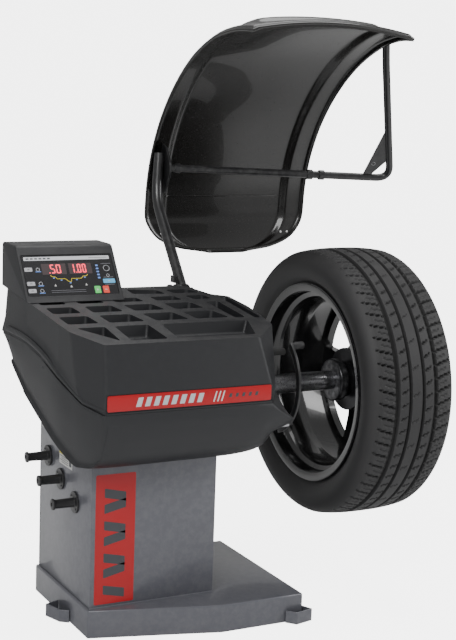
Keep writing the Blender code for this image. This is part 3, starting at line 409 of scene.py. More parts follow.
FINISHES: tuple[Finish, ...] = (
    Finish(
        Look.SLATE_PAINT, (0.088, 0.09, 0.106), (0.104, 0.106, 0.122), 0.34, 0.12, 0.15, 1400.0,
        0.1, 0.5, (0.2, 0.2, 0.21), 0.1, 0.25,
    ),
    Finish(
        Look.CASING_PLASTIC, (0.0085, 0.009, 0.0108), (0.0105, 0.0112, 0.0132), 0.5, 0.16, 0.0,
        1100.0, 0.35, 0.25, (0.06, 0.06, 0.065), 0.1,
    ),
    Finish(
        Look.SMALL_PLASTIC, (0.01, 0.01, 0.011), (0.014, 0.014, 0.015), 0.38, 0.14, 0.0, 1300.0,
        0.15, 0.3, (0.05, 0.05, 0.05), 0.06,
    ),
    Finish(
        Look.GUARD_PLASTIC, (0.0055, 0.0052, 0.005), (0.0085, 0.0078, 0.007), 0.26, 0.1, 0.0,
        260.0, 0.05, 0.2, (0.03, 0.03, 0.03), 0.05, 0.35,
    ),
    Finish(
        Look.BLACK_COAT, (0.008, 0.008, 0.009), (0.012, 0.012, 0.013), 0.3, 0.14, 0.0, 1200.0,
        0.12, 0.35, (0.09, 0.09, 0.09), 0.06, 0.2,
    ),
    Finish(Look.BAND_FILM, (0.36, 0.0012, 0.004), (0.4, 0.0016, 0.005), 0.32, 0.06, 0.0, 500.0, 0.03),
    Finish(
        Look.SCREEN, (0.006, 0.006, 0.007), (0.01, 0.01, 0.012), 0.14, 0.05, 0.0, 400.0, 0.01, 0.0,
        (0.03, 0.03, 0.03), 0.04, 0.5,
    ),
    Finish(Look.SILVER_KEY, (0.36, 0.36, 0.38), (0.42, 0.42, 0.44), 0.42, 0.1, 0.0, 900.0, 0.08, 0.2),
    Finish(Look.BLUE_KEY, (0.09, 0.42, 0.72), (0.12, 0.48, 0.78), 0.4, 0.1, 0.0, 900.0, 0.08),
    Finish(Look.GREEN_KEY, (0.08, 0.58, 0.12), (0.1, 0.66, 0.15), 0.4, 0.1, 0.0, 900.0, 0.08),
    Finish(Look.RED_KEY, (0.74, 0.06, 0.035), (0.8, 0.08, 0.045), 0.4, 0.1, 0.0, 900.0, 0.08),
    TurnedMetal(Look.BRIGHT_STEEL, (0.5, 0.5, 0.52), (0.4, 0.4, 0.42), 0.28, 0.16, 1.0, 500.0, 0.1),
    TurnedMetal(
        Look.DARK_STEEL, (0.022, 0.022, 0.024), (0.034, 0.034, 0.037), 0.3, 0.16, 0.75, 500.0,
        0.12, 0.6, (0.3, 0.3, 0.31),
    ),
    Finish(Look.CAST_IRON, (0.075, 0.076, 0.08), (0.11, 0.11, 0.115), 0.62, 0.2, 0.6, 420.0, 0.7),
    TurnedMetal(Look.ALUMINIUM, (0.62, 0.63, 0.65), (0.52, 0.53, 0.55), 0.34, 0.14, 1.0, 600.0, 0.12),
    Finish(
        Look.RIM_PAINT, (0.0045, 0.0045, 0.005), (0.008, 0.008, 0.0085), 0.22, 0.1, 0.2, 700.0,
        0.04, 0.2, (0.06, 0.06, 0.06), 0.03, 0.6,
    ),
    TreadRubberWithGrooveShade(
        Look.TYRE_RUBBER, (0.0145, 0.0145, 0.0155), (0.021, 0.0205, 0.021), 0.62, 0.2, 0.0, 800.0,
        0.3, 0.25, (0.045, 0.045, 0.046), 0.06,
    ),
    Finish(Look.RUBBER, (0.012, 0.012, 0.012), (0.018, 0.018, 0.018), 0.7, 0.15, 0.0, 900.0, 0.25),
    Finish(Look.BOARD, (0.012, 0.13, 0.055), (0.02, 0.2, 0.09), 0.42, 0.15, 0.0, 300.0, 0.2),
    Finish(Look.CERAMIC, (0.7, 0.66, 0.58), (0.76, 0.73, 0.66), 0.4, 0.12, 0.0, 700.0, 0.12),
)
PRINTS: tuple[Print, ...] = (
    Print("lit_red", (1.0, 0.05, 0.09), 2.2),
    Print("unlit_segment", (0.045, 0.028, 0.03)),
    Print("yellow_ink", (0.85, 0.66, 0.02), 0.25),
    Print("blue_ink", (0.16, 0.3, 0.72), 0.15),
    Print("pale_ink", (0.62, 0.63, 0.66)),
    Print("grey_ink", (0.16, 0.16, 0.18)),
    Print("silver_ink", (0.66, 0.68, 0.7), 0.0, 0.28, 0.6),
    Print("dark_ink", (0.045, 0.048, 0.055), 0.0, 0.4),
    Print("paper", (0.62, 0.62, 0.6), 0.0, 0.5),
    Print("orange_ink", (0.75, 0.17, 0.03), 0.0, 0.5),
    Print("straw_ink", (0.72, 0.62, 0.05), 0.0, 0.5),
    Print("white_plug", (0.75, 0.75, 0.74), 0.0, 0.5),
)


# ---------------------------------------------------------------- workshop
class Workshop:
    """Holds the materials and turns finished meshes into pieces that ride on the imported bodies."""

    def __init__(self) -> None:
        """Builds every material and finds the floor corner that the pieces are measured from."""
        effects = SharedEffects()
        self.materials = {finish.look.value: finish.build(effects) for finish in FINISHES}
        self.materials.update({ink.name: ink.build(effects) for ink in PRINTS})
        low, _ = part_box("base_tray")
        self.corner = Vector((low.x, low.y + BASE_FRONT_REACH, 0.0))

    def piece(
        self,
        name: str,
        mesh: BMesh,
        look: Look | str,
        body: str,
        replaces: Iterable[str] = (),
        edge: float = 0.0,
        segments: int = 3,
        smooth: float = 35.0,
    ) -> bpy.types.Object:
        """Makes a piece.

        Args:
            name: the piece's name.
            mesh: its shape in machine coordinates, used up here.
            look: its finish or the name of its print.
            body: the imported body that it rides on.
            replaces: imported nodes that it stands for.
            edge: width of the bevel on its sharp edges.
            segments: steps of that bevel.
            smooth: angle in degrees up to which neighbouring faces shade as one.

        Returns:
            The piece's object.
        """
        bmesh.ops.remove_doubles(mesh, verts=mesh.verts, dist=MERGE)
        bmesh.ops.translate(mesh, verts=mesh.verts, vec=self.corner)
        bmesh.ops.recalc_face_normals(mesh, faces=mesh.faces)
        return self._object(name, mesh, look, body, replaces, edge, segments, smooth)

    def refined(
        self,
        name: str,
        node: str,
        look: Look,
        body: str,
        edge: float,
        segments: int = 3,
        flat: float = 0.5,
        smooth: float = 35.0,
    ) -> bpy.types.Object:
        """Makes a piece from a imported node's own shape, with its flat faces joined up and its edges rounded.

        Args:
            name: the piece's name.
            node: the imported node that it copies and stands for.
            look: its finish.
            body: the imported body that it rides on.
            edge: width of the bevel on its sharp edges.
            segments: steps of that bevel.
            flat: angle in degrees up to which faces are joined into one.
            smooth: angle in degrees up to which neighbouring faces shade as one.

        Returns:
            The piece's object.
        """
        mesh = bmesh.new()
        mesh.from_mesh(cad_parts[node].data)
        bmesh.ops.remove_doubles(mesh, verts=mesh.verts, dist=MERGE)
        bmesh.ops.dissolve_limit(
            mesh, angle_limit=math.radians(flat), verts=mesh.verts, edges=mesh.edges, delimit=set()
        )
        return self._object(name, mesh, look, body, (node,), edge, segments, smooth)

    def _object(
        self,
        name: str,
        mesh: BMesh,
        look: Look | str,
        body: str,
        replaces: Iterable[str],
        edge: float,
        segments: int,
        smooth: float,
    ) -> bpy.types.Object:
        """Puts a mesh that is already in the row's frame into the scene; the arguments are piece's."""
        data = bpy.data.meshes.new(name)
        mesh.to_mesh(data)
        mesh.free()
        piece = bpy.data.objects.new(name, data)
        bpy.context.scene.collection.objects.link(piece)
        label = look.value if isinstance(look, Look) else look
        data.materials.append(self.materials[label])
        if edge:
            bevel = piece.modifiers.new("edges", "BEVEL")
            bevel.width = edge
            bevel.segments = segments
            bevel.limit_method = "ANGLE"
            bevel.angle_limit = math.radians(30)
            bevel.harden_normals = False
        data.shade_smooth()
        data.set_sharp_from_angle(angle=math.radians(smooth))
        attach(piece, body)
        nodes = tuple(replaces)
        if nodes:
            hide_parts(*nodes)
        LOG.info("%s rides on %s with %d faces", name, body, len(data.polygons))
        return piece

    def dress(self, node: str, look: Look) -> None:
        """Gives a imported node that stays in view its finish."""
        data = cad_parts[node].data
        data.materials.clear()
        data.materials.append(self.materials[look.value])


# ---------------------------------------------------------------- shapes
class Forge:
    """Ways of making a mesh, all in machine coordinates."""

    @staticmethod
    def join(target: BMesh, extra: BMesh) -> None:
        """Adds one mesh to another and frees it."""
        data = bpy.data.meshes.new("joined")
        extra.to_mesh(data)
        extra.free()
        target.from_mesh(data)
        bpy.data.meshes.remove(data)

    @classmethod
    def merged(cls, meshes: Iterable[BMesh]) -> BMesh:
        """Joins meshes into one, as separate shells.

        Args:
            meshes: the meshes, used up here.

        Returns:
            The joined mesh.
        """
        result = bmesh.new()
        for mesh in meshes:
            cls.join(result, mesh)
        return result

    @staticmethod
    def loop(mesh: BMesh, points: Sequence[Point], closed: bool = True) -> list[bmesh.types.BMEdge]:
        """Adds a line of edges.

        Args:
            mesh: the mesh that takes them.
            points: its corners in order.
            closed: whether the last corner joins the first.

        Returns:
            The new edges.
        """
        corners = [mesh.verts.new(point) for point in points]
        ends = list(zip(corners, corners[1:]))
        if closed:
            ends.append((corners[-1], corners[0]))
        return [mesh.edges.new(pair) for pair in ends]

    @staticmethod
    def bevelled(mesh: BMesh, edges: Iterable[bmesh.types.BMEdge], offset: float, segments: int) -> None:
        """Rounds some of a mesh's edges."""
        bmesh.ops.bevel(
            mesh, geom=list(edges), offset=offset, segments=segments, profile=0.5, affect="EDGES",
            material=-1, clamp_overlap=True,
        )

    @staticmethod
    def share_along(edge: bmesh.types.BMEdge, direction: Vector) -> float:
        """How nearly an edge runs along a direction, from 0 to 1."""
        return abs((edge.verts[1].co - edge.verts[0].co).normalized().dot(direction))

    @classmethod
    def turned(cls, profile: Sequence[Point], y: float, z: float, steps: int = 96,
               closed: bool = True) -> BMesh:
        """Spins a profile round an axis along X.

        Args:
            profile: corners as (x, radius).
            y: the axis's place across the machine.
            z: its height.
            steps: steps in a full turn.
            closed: whether the profile's last corner joins its first.

        Returns:
            The turned mesh.
        """
        mesh = bmesh.new()
        edges = cls.loop(mesh, [(x, y, z + radius) for x, radius in profile], closed)
        geometry = list(mesh.verts) + edges
        bmesh.ops.spin(
            mesh, geom=geometry, cent=(0, y, z), axis=(1, 0, 0), angle=2 * math.pi, steps=steps,
            use_merge=True
        )
        bmesh.ops.remove_doubles(mesh, verts=mesh.verts, dist=MERGE)
        bmesh.ops.recalc_face_normals(mesh, faces=mesh.faces)
        return mesh

    @classmethod
    def drawn(cls, outline: Sequence[Point], along: Point, corner: float = 0.0, rim: float = 0.0) -> BMesh:
        """Extrudes a flat outline.

        Args:
            outline: its corners in space.
            along: how far it is extruded.
            corner: width of the rounding on its upright edges.
            rim: width of the rounding round its two faces.

        Returns:
            The solid.
        """
        mesh = bmesh.new()
        edges = cls.loop(mesh, outline)
        face = bmesh.ops.contextual_create(mesh, geom=edges)["faces"]
        made = bmesh.ops.extrude_face_region(mesh, geom=face)["geom"]
        moved = [item for item in made if isinstance(item, bmesh.types.BMVert)]
        bmesh.ops.translate(mesh, verts=moved, vec=along)
        bmesh.ops.recalc_face_normals(mesh, faces=mesh.faces)
        direction = Vector(along).normalized()
        if corner:
            upright = [e for e in mesh.edges if cls.share_along(e, direction) > UPRIGHT]
            cls.bevelled(mesh, upright, corner, 5)
        if rim:
            level = [e for e in mesh.edges if cls.share_along(e, direction) < LEVEL]
            cls.bevelled(mesh, level, rim, 3)
        return mesh

    @classmethod
    def block(cls, low: Point, high: Point, corner: float = 0.0, rim: float = 0.0) -> BMesh:
        """A block between two corners, extruded upwards.

        Args:
            low: its lowest corner.
            high: its highest corner.
            corner: rounding of its upright edges.
            rim: rounding of its top and bottom edges.

        Returns:
            The block.
        """
        (x0, y0, z0), (x1, y1, z1) = low, high
        outline = ((x0, y0, z0), (x1, y0, z0), (x1, y1, z0), (x0, y1, z0))
        return cls.drawn(outline, (0, 0, z1 - z0), corner, rim)

    @staticmethod
    def draped(columns: int, rows: int, place: Callable[[float, float], Vector]) -> BMesh:
        """Lays a grid over a surface.

        Args:
            columns: steps along the first share.
            rows: steps along the second share.
            place: gives a point from the two shares, each from 0 to 1.

        Returns:
            The sheet.
        """
        mesh = bmesh.new()
        bmesh.ops.create_grid(mesh, x_segments=columns, y_segments=rows, size=1.0)
        for vert in mesh.verts:
            vert.co = place(0.5 * (vert.co.x + 1.0), 0.5 * (vert.co.y + 1.0))
        return mesh

    @staticmethod
    def piped(path: Sequence[Point], radius: float, closed: bool = False, sides: int = 6) -> BMesh:
        """Runs a round bar along a path.

        Args:
            path: its points.
            radius: the bar's radius.
            closed: whether the path comes back to its start.
            sides: quarter steps round the bar.

        Returns:
            The bar, with closed ends.
        """
        curve = bpy.data.curves.new("pipe", "CURVE")
        curve.dimensions = "3D"
        curve.bevel_depth = radius
        curve.bevel_resolution = sides
        curve.use_fill_caps = True
        spline = curve.splines.new("POLY")
        spline.points.add(len(path) - 1)
        for point, place in zip(spline.points, path):
            point.co = (*place, 1.0)
        spline.use_cyclic_u = closed
        holder = bpy.data.objects.new("pipe", curve)
        bpy.context.scene.collection.objects.link(holder)
        data = bpy.data.meshes.new_from_object(holder)
        mesh = bmesh.new()
        mesh.from_mesh(data)
        bpy.data.objects.remove(holder)
        bpy.data.curves.remove(curve)
        bpy.data.meshes.remove(data)
        return mesh

    @staticmethod
    def carved(mesh: BMesh, cutters: Sequence[BMesh], add: bool = False) -> BMesh:
        """Cuts solids out of a solid, or adds them to it.

        Args:
            mesh: the solid, used up here.
            cutters: the others, used up here.
            add: whether they are added.

        Returns:
            The result.
        """
        holders = []
        for part in (mesh, *cutters):
            bmesh.ops.recalc_face_normals(part, faces=part.faces)
            data = bpy.data.meshes.new("solid")
            part.to_mesh(data)
            part.free()
            holder = bpy.data.objects.new("solid", data)
            bpy.context.scene.collection.objects.link(holder)
            holders.append(holder)
        for cutter in holders[1:]:
            step = holders[0].modifiers.new("cut", "BOOLEAN")
            step.operation = "UNION" if add else "DIFFERENCE"
            step.solver = "EXACT"
            step.object = cutter
        bpy.context.view_layer.update()
        graph = bpy.context.evaluated_depsgraph_get()
        data = bpy.data.meshes.new_from_object(holders[0].evaluated_get(graph))
        result = bmesh.new()
        result.from_mesh(data)
        bpy.data.meshes.remove(data)
        for holder in holders:
            used = holder.data
            bpy.data.objects.remove(holder)
            bpy.data.meshes.remove(used)
        return result

    @classmethod
    def lofted(cls, rings: Sequence[Sequence[Point]]) -> BMesh:
        """Bridges closed rings of equal length and fills the first and the last.

        Args:
            rings: the rings in order.

        Returns:
            The solid.
        """
        mesh = bmesh.new()
        loops = [cls.loop(mesh, ring) for ring in rings]
        for lower, upper in zip(loops, loops[1:]):
            bmesh.ops.bridge_loops(mesh, edges=lower + upper)
        for end in (loops[0], loops[-1]):
            bmesh.ops.contextual_create(mesh, geom=end)
        bmesh.ops.recalc_face_normals(mesh, faces=mesh.faces)
        return mesh

    @staticmethod
    def thickened(mesh: BMesh, thickness: float) -> BMesh:
        """Gives a sheet a wall on its inner side."""
        bmesh.ops.remove_doubles(mesh, verts=mesh.verts, dist=MERGE)
        bmesh.ops.recalc_face_normals(mesh, faces=mesh.faces)
        bmesh.ops.solidify(mesh, geom=list(mesh.faces), thickness=thickness)
        return mesh

    @classmethod
    def screw(cls, place: Point, axis: Point, radius: float, height: float, recess: float = 0.5) -> BMesh:
        """A domed screw head with a hexagon recess.

        Args:
            place: middle of its seat.
            axis: the way it faces.
            radius: the head's radius.
            height: its height.
            recess: the recess's radius as a share of the head's.

        Returns:
            The head.
        """
        profile = (
            (0, 0), (0, radius), (0.35 * height, radius), (0.75 * height, 0.86 * radius),
            (height, 0.66 * radius), (height, 0),
        )
        head = cls.turned(profile, 0, 0, 24)
        hexagon = [math.radians(60 * i) for i in range(6)]
        size = recess * radius
        outline = [(0.4 * height, size * math.cos(a), size * math.sin(a)) for a in hexagon]
        head = cls.carved(head, [cls.drawn(outline, (height, 0, 0))])
        turn = Vector((1, 0, 0)).rotation_difference(Vector(axis)).to_matrix().to_4x4()
        bmesh.ops.transform(head, matrix=Matrix.Translation(place) @ turn, verts=head.verts)
        return head


@dataclass(frozen=True)
class Track:
    """A smooth line through knots, run from 0 at the first to 1 at the last."""

    knots: tuple[tuple[float, ...], ...]

    def at(self, share: float) -> tuple[float, ...]:
        """Reads the line.

        Args:
            share: how far along, from 0 to 1.

        Returns:
            The value there.
        """
        last = len(self.knots) - 1
        scaled = min(max(share, 0.0), 1.0) * last
        index = min(int(scaled), last - 1)
        t = scaled - index
        picked = [self.knots[min(max(i, 0), last)] for i in range(index - 1, index + 3)]
        return tuple(self._blend(t, *values) for values in zip(*picked))

    @staticmethod
    def _blend(t: float, before: float, start: float, end: float, after: float) -> float:
        """Catmull and Rom's cubic between start and end."""
        slope, bend = end - before, 2 * before - 5 * start + 4 * end - after
        twist = 3 * start - before - 3 * end + after
        return start + 0.5 * t * (slope + t * (bend + t * twist))


def rounded(corners: Sequence[Point], radius: float, steps: int = 8) -> list[Vector]:
    """Rounds the corners of an open path.

    Args:
        corners: the path's corners.
        radius: how far from a corner its rounding starts.
        steps: steps in each rounding.

    Returns:
        The path's points.
    """
    points = [Vector(corner) for corner in corners]
    result = [points[0]]
    for before, corner, after in zip(points, points[1:], points[2:]):
        start = corner + (before - corner).normalized() * radius
        end = corner + (after - corner).normalized() * radius
        for i in range(steps + 1):
            t = i / steps
            result.append(start * (1 - t) ** 2 + corner * 2 * t * (1 - t) + end * t ** 2)
    result.append(points[-1])
    return result


def knotted(table: Sequence[Point], place: float) -> float:
    """Reads a table of (place, value) with straight lines between its rows."""
    for (x0, y0), (x1, y1) in zip(table, table[1:]):
        if place <= x1:
            return y0 + (y1 - y0) * max(place - x0, 0.0) / (x1 - x0)
    return table[-1][1]


# ---------------------------------------------------------------- stand
@dataclass
class Stand:
    """The welded base, its foot straps, the column with its cover, and the pegs that hold spare cones."""

    shop: Workshop
    base_height: float = 0.068
    base_edge: float = 0.003
    column_x: tuple[float, float] = (0.007, 0.329)
    column_y: tuple[float, float] = (0.008, 0.345)
    pegs: tuple[tuple[str, float, float], ...] = (
        ("peg_upper", 0.288, 0.369), ("peg_middle", 0.202, 0.332), ("peg_lower", 0.106, 0.3),
    )

    def build(self) -> None:
        """Makes every piece of the stand."""
        self._plate_work()
        self._weld_seam()
        self._anchors()
        self._decal()
        self._labels()
        for node, y, z in self.pegs:
            self._peg(node, y, z)
        self._cover_fixings()
        self._inlet_pins()

    def _plate_work(self) -> None:
        """Rounds the folded and welded plates."""
        self.shop.refined("base_visual", "base_tray", Look.SLATE_PAINT, "stand", self.base_edge, 4)
        self.shop.refined("column_visual", "column_shell", Look.SLATE_PAINT, "stand", 0.0022, 4)
        self.shop.refined("rear_cover_visual", "rear_cover", Look.SLATE_PAINT, "stand", 0.0008, 2)
        for side in ("left", "front", "rear"):
            self.shop.refined(f"foot_{side}_visual", f"foot_{side}", Look.SLATE_PAINT, "stand", 0.0012, 3,
                              2.0)
        self.shop.refined("mains_inlet_visual", "mains_inlet", Look.SMALL_PLASTIC, "stand", 0.0007, 3)
        self.shop.refined("mains_rocker_visual", "mains_rocker", Look.RED_KEY, "rocker", 0.0006, 3)

    def _weld_seam(self) -> None:
        """The fillet weld where the column stands on the base."""
        (x0, x1), (y0, y1) = self.column_x, self.column_y
        path = []
        for (ax, ay), (bx, by) in (((x0, y0), (x1, y0)), ((x1, y0), (x1, y1))):
            count = round(math.dist((ax, ay), (bx, by)) / 0.004)
            for i in range(count):
                t = i / count
                ripple = 0.0003 * math.sin(2.6 * i)
                path.append((ax + (bx - ax) * t, ay + (by - ay) * t - ripple,
                             self.base_height + 0.0006 + ripple))
        self.shop.piece("column_weld", Forge.piped(path, 0.0022, sides=3), Look.SLATE_PAINT, "stand")

    def _anchors(self) -> None:
        """The studs, washers and nuts that hold the foot straps to the floor."""
        places = ((-0.017, 0.149), (0.523, -0.087), (0.255, 0.366))
        meshes = []
        for x, y in places:
            hexagon = [math.radians(60 * i + 10) for i in range(6)]
            flats = [(x + 0.0065 * math.cos(a), y + 0.0065 * math.sin(a), 0.002) for a in hexagon]
            meshes.append(Forge.drawn(flats, (0, 0, 0.0065), 0.0, 0.0006))
            profile = ((0, 0), (0, 0.0035), (0.015, 0.0035), (0.0165, 0.0025), (0.0165, 0))
            stud = Forge.turned(profile, 0, 0, 16)
            turn = Matrix.Rotation(-math.pi / 2, 4, "Y")
            bmesh.ops.transform(stud, matrix=Matrix.Translation((x, y, 0.001)) @ turn, verts=stud.verts)
            washer = Forge.turned(((0, 0.0036), (0, 0.01), (0.0018, 0.01), (0.0018, 0.0036)), 0, 0, 24)
            bmesh.ops.transform(washer, matrix=Matrix.Translation((x, y, 0.0002)) @ turn,
                                verts=washer.verts)
            meshes += [stud, washer]
        self.shop.piece("anchor_fixings", Forge.merged(meshes), Look.BRIGHT_STEEL, "stand")

    def _plate(self, name: str, low: Point, high: Point, ink: str) -> None:
        """Lays a thin sticker as a block between two corners."""
        self.shop.piece(name, Forge.block(low, high), ink, "stand")

    def _decal(self) -> None:
        """The red film on the column's front with plain dark shapes in place of lettering."""
        y = self.column_y[0]
        x0, x1, z0, z1 = 0.018, 0.118, 0.076, 0.389
        outline = ((x0, y - 0.0003, z0), (x1, y - 0.0003, z0), (x1, y - 0.0003, z1), (x0, y - 0.0003, z1))
        film = Forge.drawn(outline, (0, 0.0004, 0), 0.004)
        self.shop.piece("decal_film", film, Look.BAND_FILM, "stand")
        shapes = []
        for i in range(7):
            foot = z0 + 0.024 + 0.039 * i
            lean = 0.012
            shapes.append(self._slash(x0 + 0.022, x1 - 0.024, foot, 0.022, lean if i % 2 else -lean,
                                      y - 0.0006))
        self.shop.piece("decal_shapes", Forge.merged(shapes), "dark_ink", "stand")

    @staticmethod
    def _slash(x0: float, x1: float, foot: float, rise: float, lean: float, y: float) -> BMesh:
        """A leaning bar on the column's front."""
        outline = ((x0, y, foot), (x1, y, foot + lean), (x1, y, foot + rise + lean), (x0, y, foot + rise))
        return Forge.drawn(outline, (0, 0.0003, 0), 0.002)

    def _labels(self) -> None:
        """Three stickers on the column's left side, with plain bars for their print."""
        x = self.column_x[0] - 0.0003
        self._plate("rating_plate", (x, 0.218, 0.432), (x + 0.0004, 0.336, 0.476), "paper")
        bars = [(0.224, 0.312, 0.469, 0.472), (0.224, 0.296, 0.4615, 0.4635), (0.224, 0.33, 0.456, 0.4575),
                (0.224, 0.33, 0.45, 0.4515), (0.224, 0.284, 0.444, 0.4455), (0.3, 0.33, 0.437, 0.447)]
        for name, head, y0, y1, z0, z1 in (
            ("notice_upper", "orange_ink", 0.134, 0.214, 0.404, 0.436),
            ("notice_lower", "straw_ink", 0.131, 0.215, 0.37, 0.403),
        ):
            self._plate(name, (x, y0, z0), (x + 0.0004, y1, z1), "paper")
            top = z1 - 0.0085
            self._plate(f"{name}_head", (x - 0.0002, y0 + 0.001, top), (x + 0.0001, y1 - 0.001, z1 - 0.001),
                        head)
            for i in range(4):
                z = top - 0.004 - 0.0048 * i
                bars.append((y0 + 0.026, y1 - 0.006 - 0.009 * (i % 2), z - 0.0016, z))
            bars.append((y0 + 0.005, y0 + 0.02, top - 0.019, top - 0.004))
        lines = [Forge.block((x - 0.0002, a, c), (x + 0.0001, b, d)) for a, b, c, d in bars]
        self.shop.piece("label_bars", Forge.merged(lines), "dark_ink", "stand")

    def _peg(self, node: str, y: float, z: float) -> None:
        """A peg with its round flange, its slightly tapered shaft and the lip that keeps a cone on it."""
        wall = self.column_x[0] - 0.0003
        tip = -0.053
        profile = [(wall, 0), (wall, 0.025), (wall - 0.0008, 0.026), (wall - 0.0042, 0.026),
                   (wall - 0.005, 0.0252)]
        profile += [(wall - 0.005, 0.0135), (wall - 0.0058, 0.012), (wall - 0.008, 0.0113)]
        profile += [(tip + 0.0085, 0.0106), (tip + 0.0068, 0.011), (tip + 0.006, 0.0126),
                    (tip + 0.0048, 0.0134)]
        profile += [(tip + 0.002, 0.0134), (tip + 0.0006, 0.0128), (tip, 0.0112), (tip, 0.0052),
                    (tip + 0.003, 0.0046)]
        profile += [(tip + 0.003, 0)]
        self.shop.piece(f"{node}_visual", Forge.turned(profile, y, z, 64), Look.SMALL_PLASTIC, "stand",
                        (node,))
        angles = (45, 135, 225, 315)
        heads = []
        for angle in angles:
            a = math.radians(angle)
            seat = (wall - 0.005, y + 0.0195 * math.cos(a), z + 0.0195 * math.sin(a))
            heads.append(Forge.screw(seat, (-1, 0, 0), 0.0026, 0.0014))
        self.shop.piece(f"{node}_screws", Forge.merged(heads), Look.DARK_STEEL, "stand")

    def _cover_fixings(self) -> None:
        """Screws round the rear cover."""
        heads = []
        for x in (0.02, 0.168, 0.316):
            for z in (0.085, 0.33, 0.585):
                heads.append(Forge.screw((x, 0.3493, z), (0, 1, 0), 0.0048, 0.0022))
        self.shop.piece("cover_screws", Forge.merged(heads), Look.DARK_STEEL, "stand")

    def _inlet_pins(self) -> None:
        """The three flat pins down in the mains socket."""
        y0, y1 = 0.3385, 0.3475
        pins = [Forge.block((x - 0.001, y0, z - 0.002), (x + 0.001, y1, z + 0.002), 0.0, 0.0004)
                for x, z in ((0.135, 0.1485), (0.142, 0.152), (0.149, 0.1485))]
        self.shop.piece("inlet_pins", Forge.merged(pins), Look.BRIGHT_STEEL, "stand")


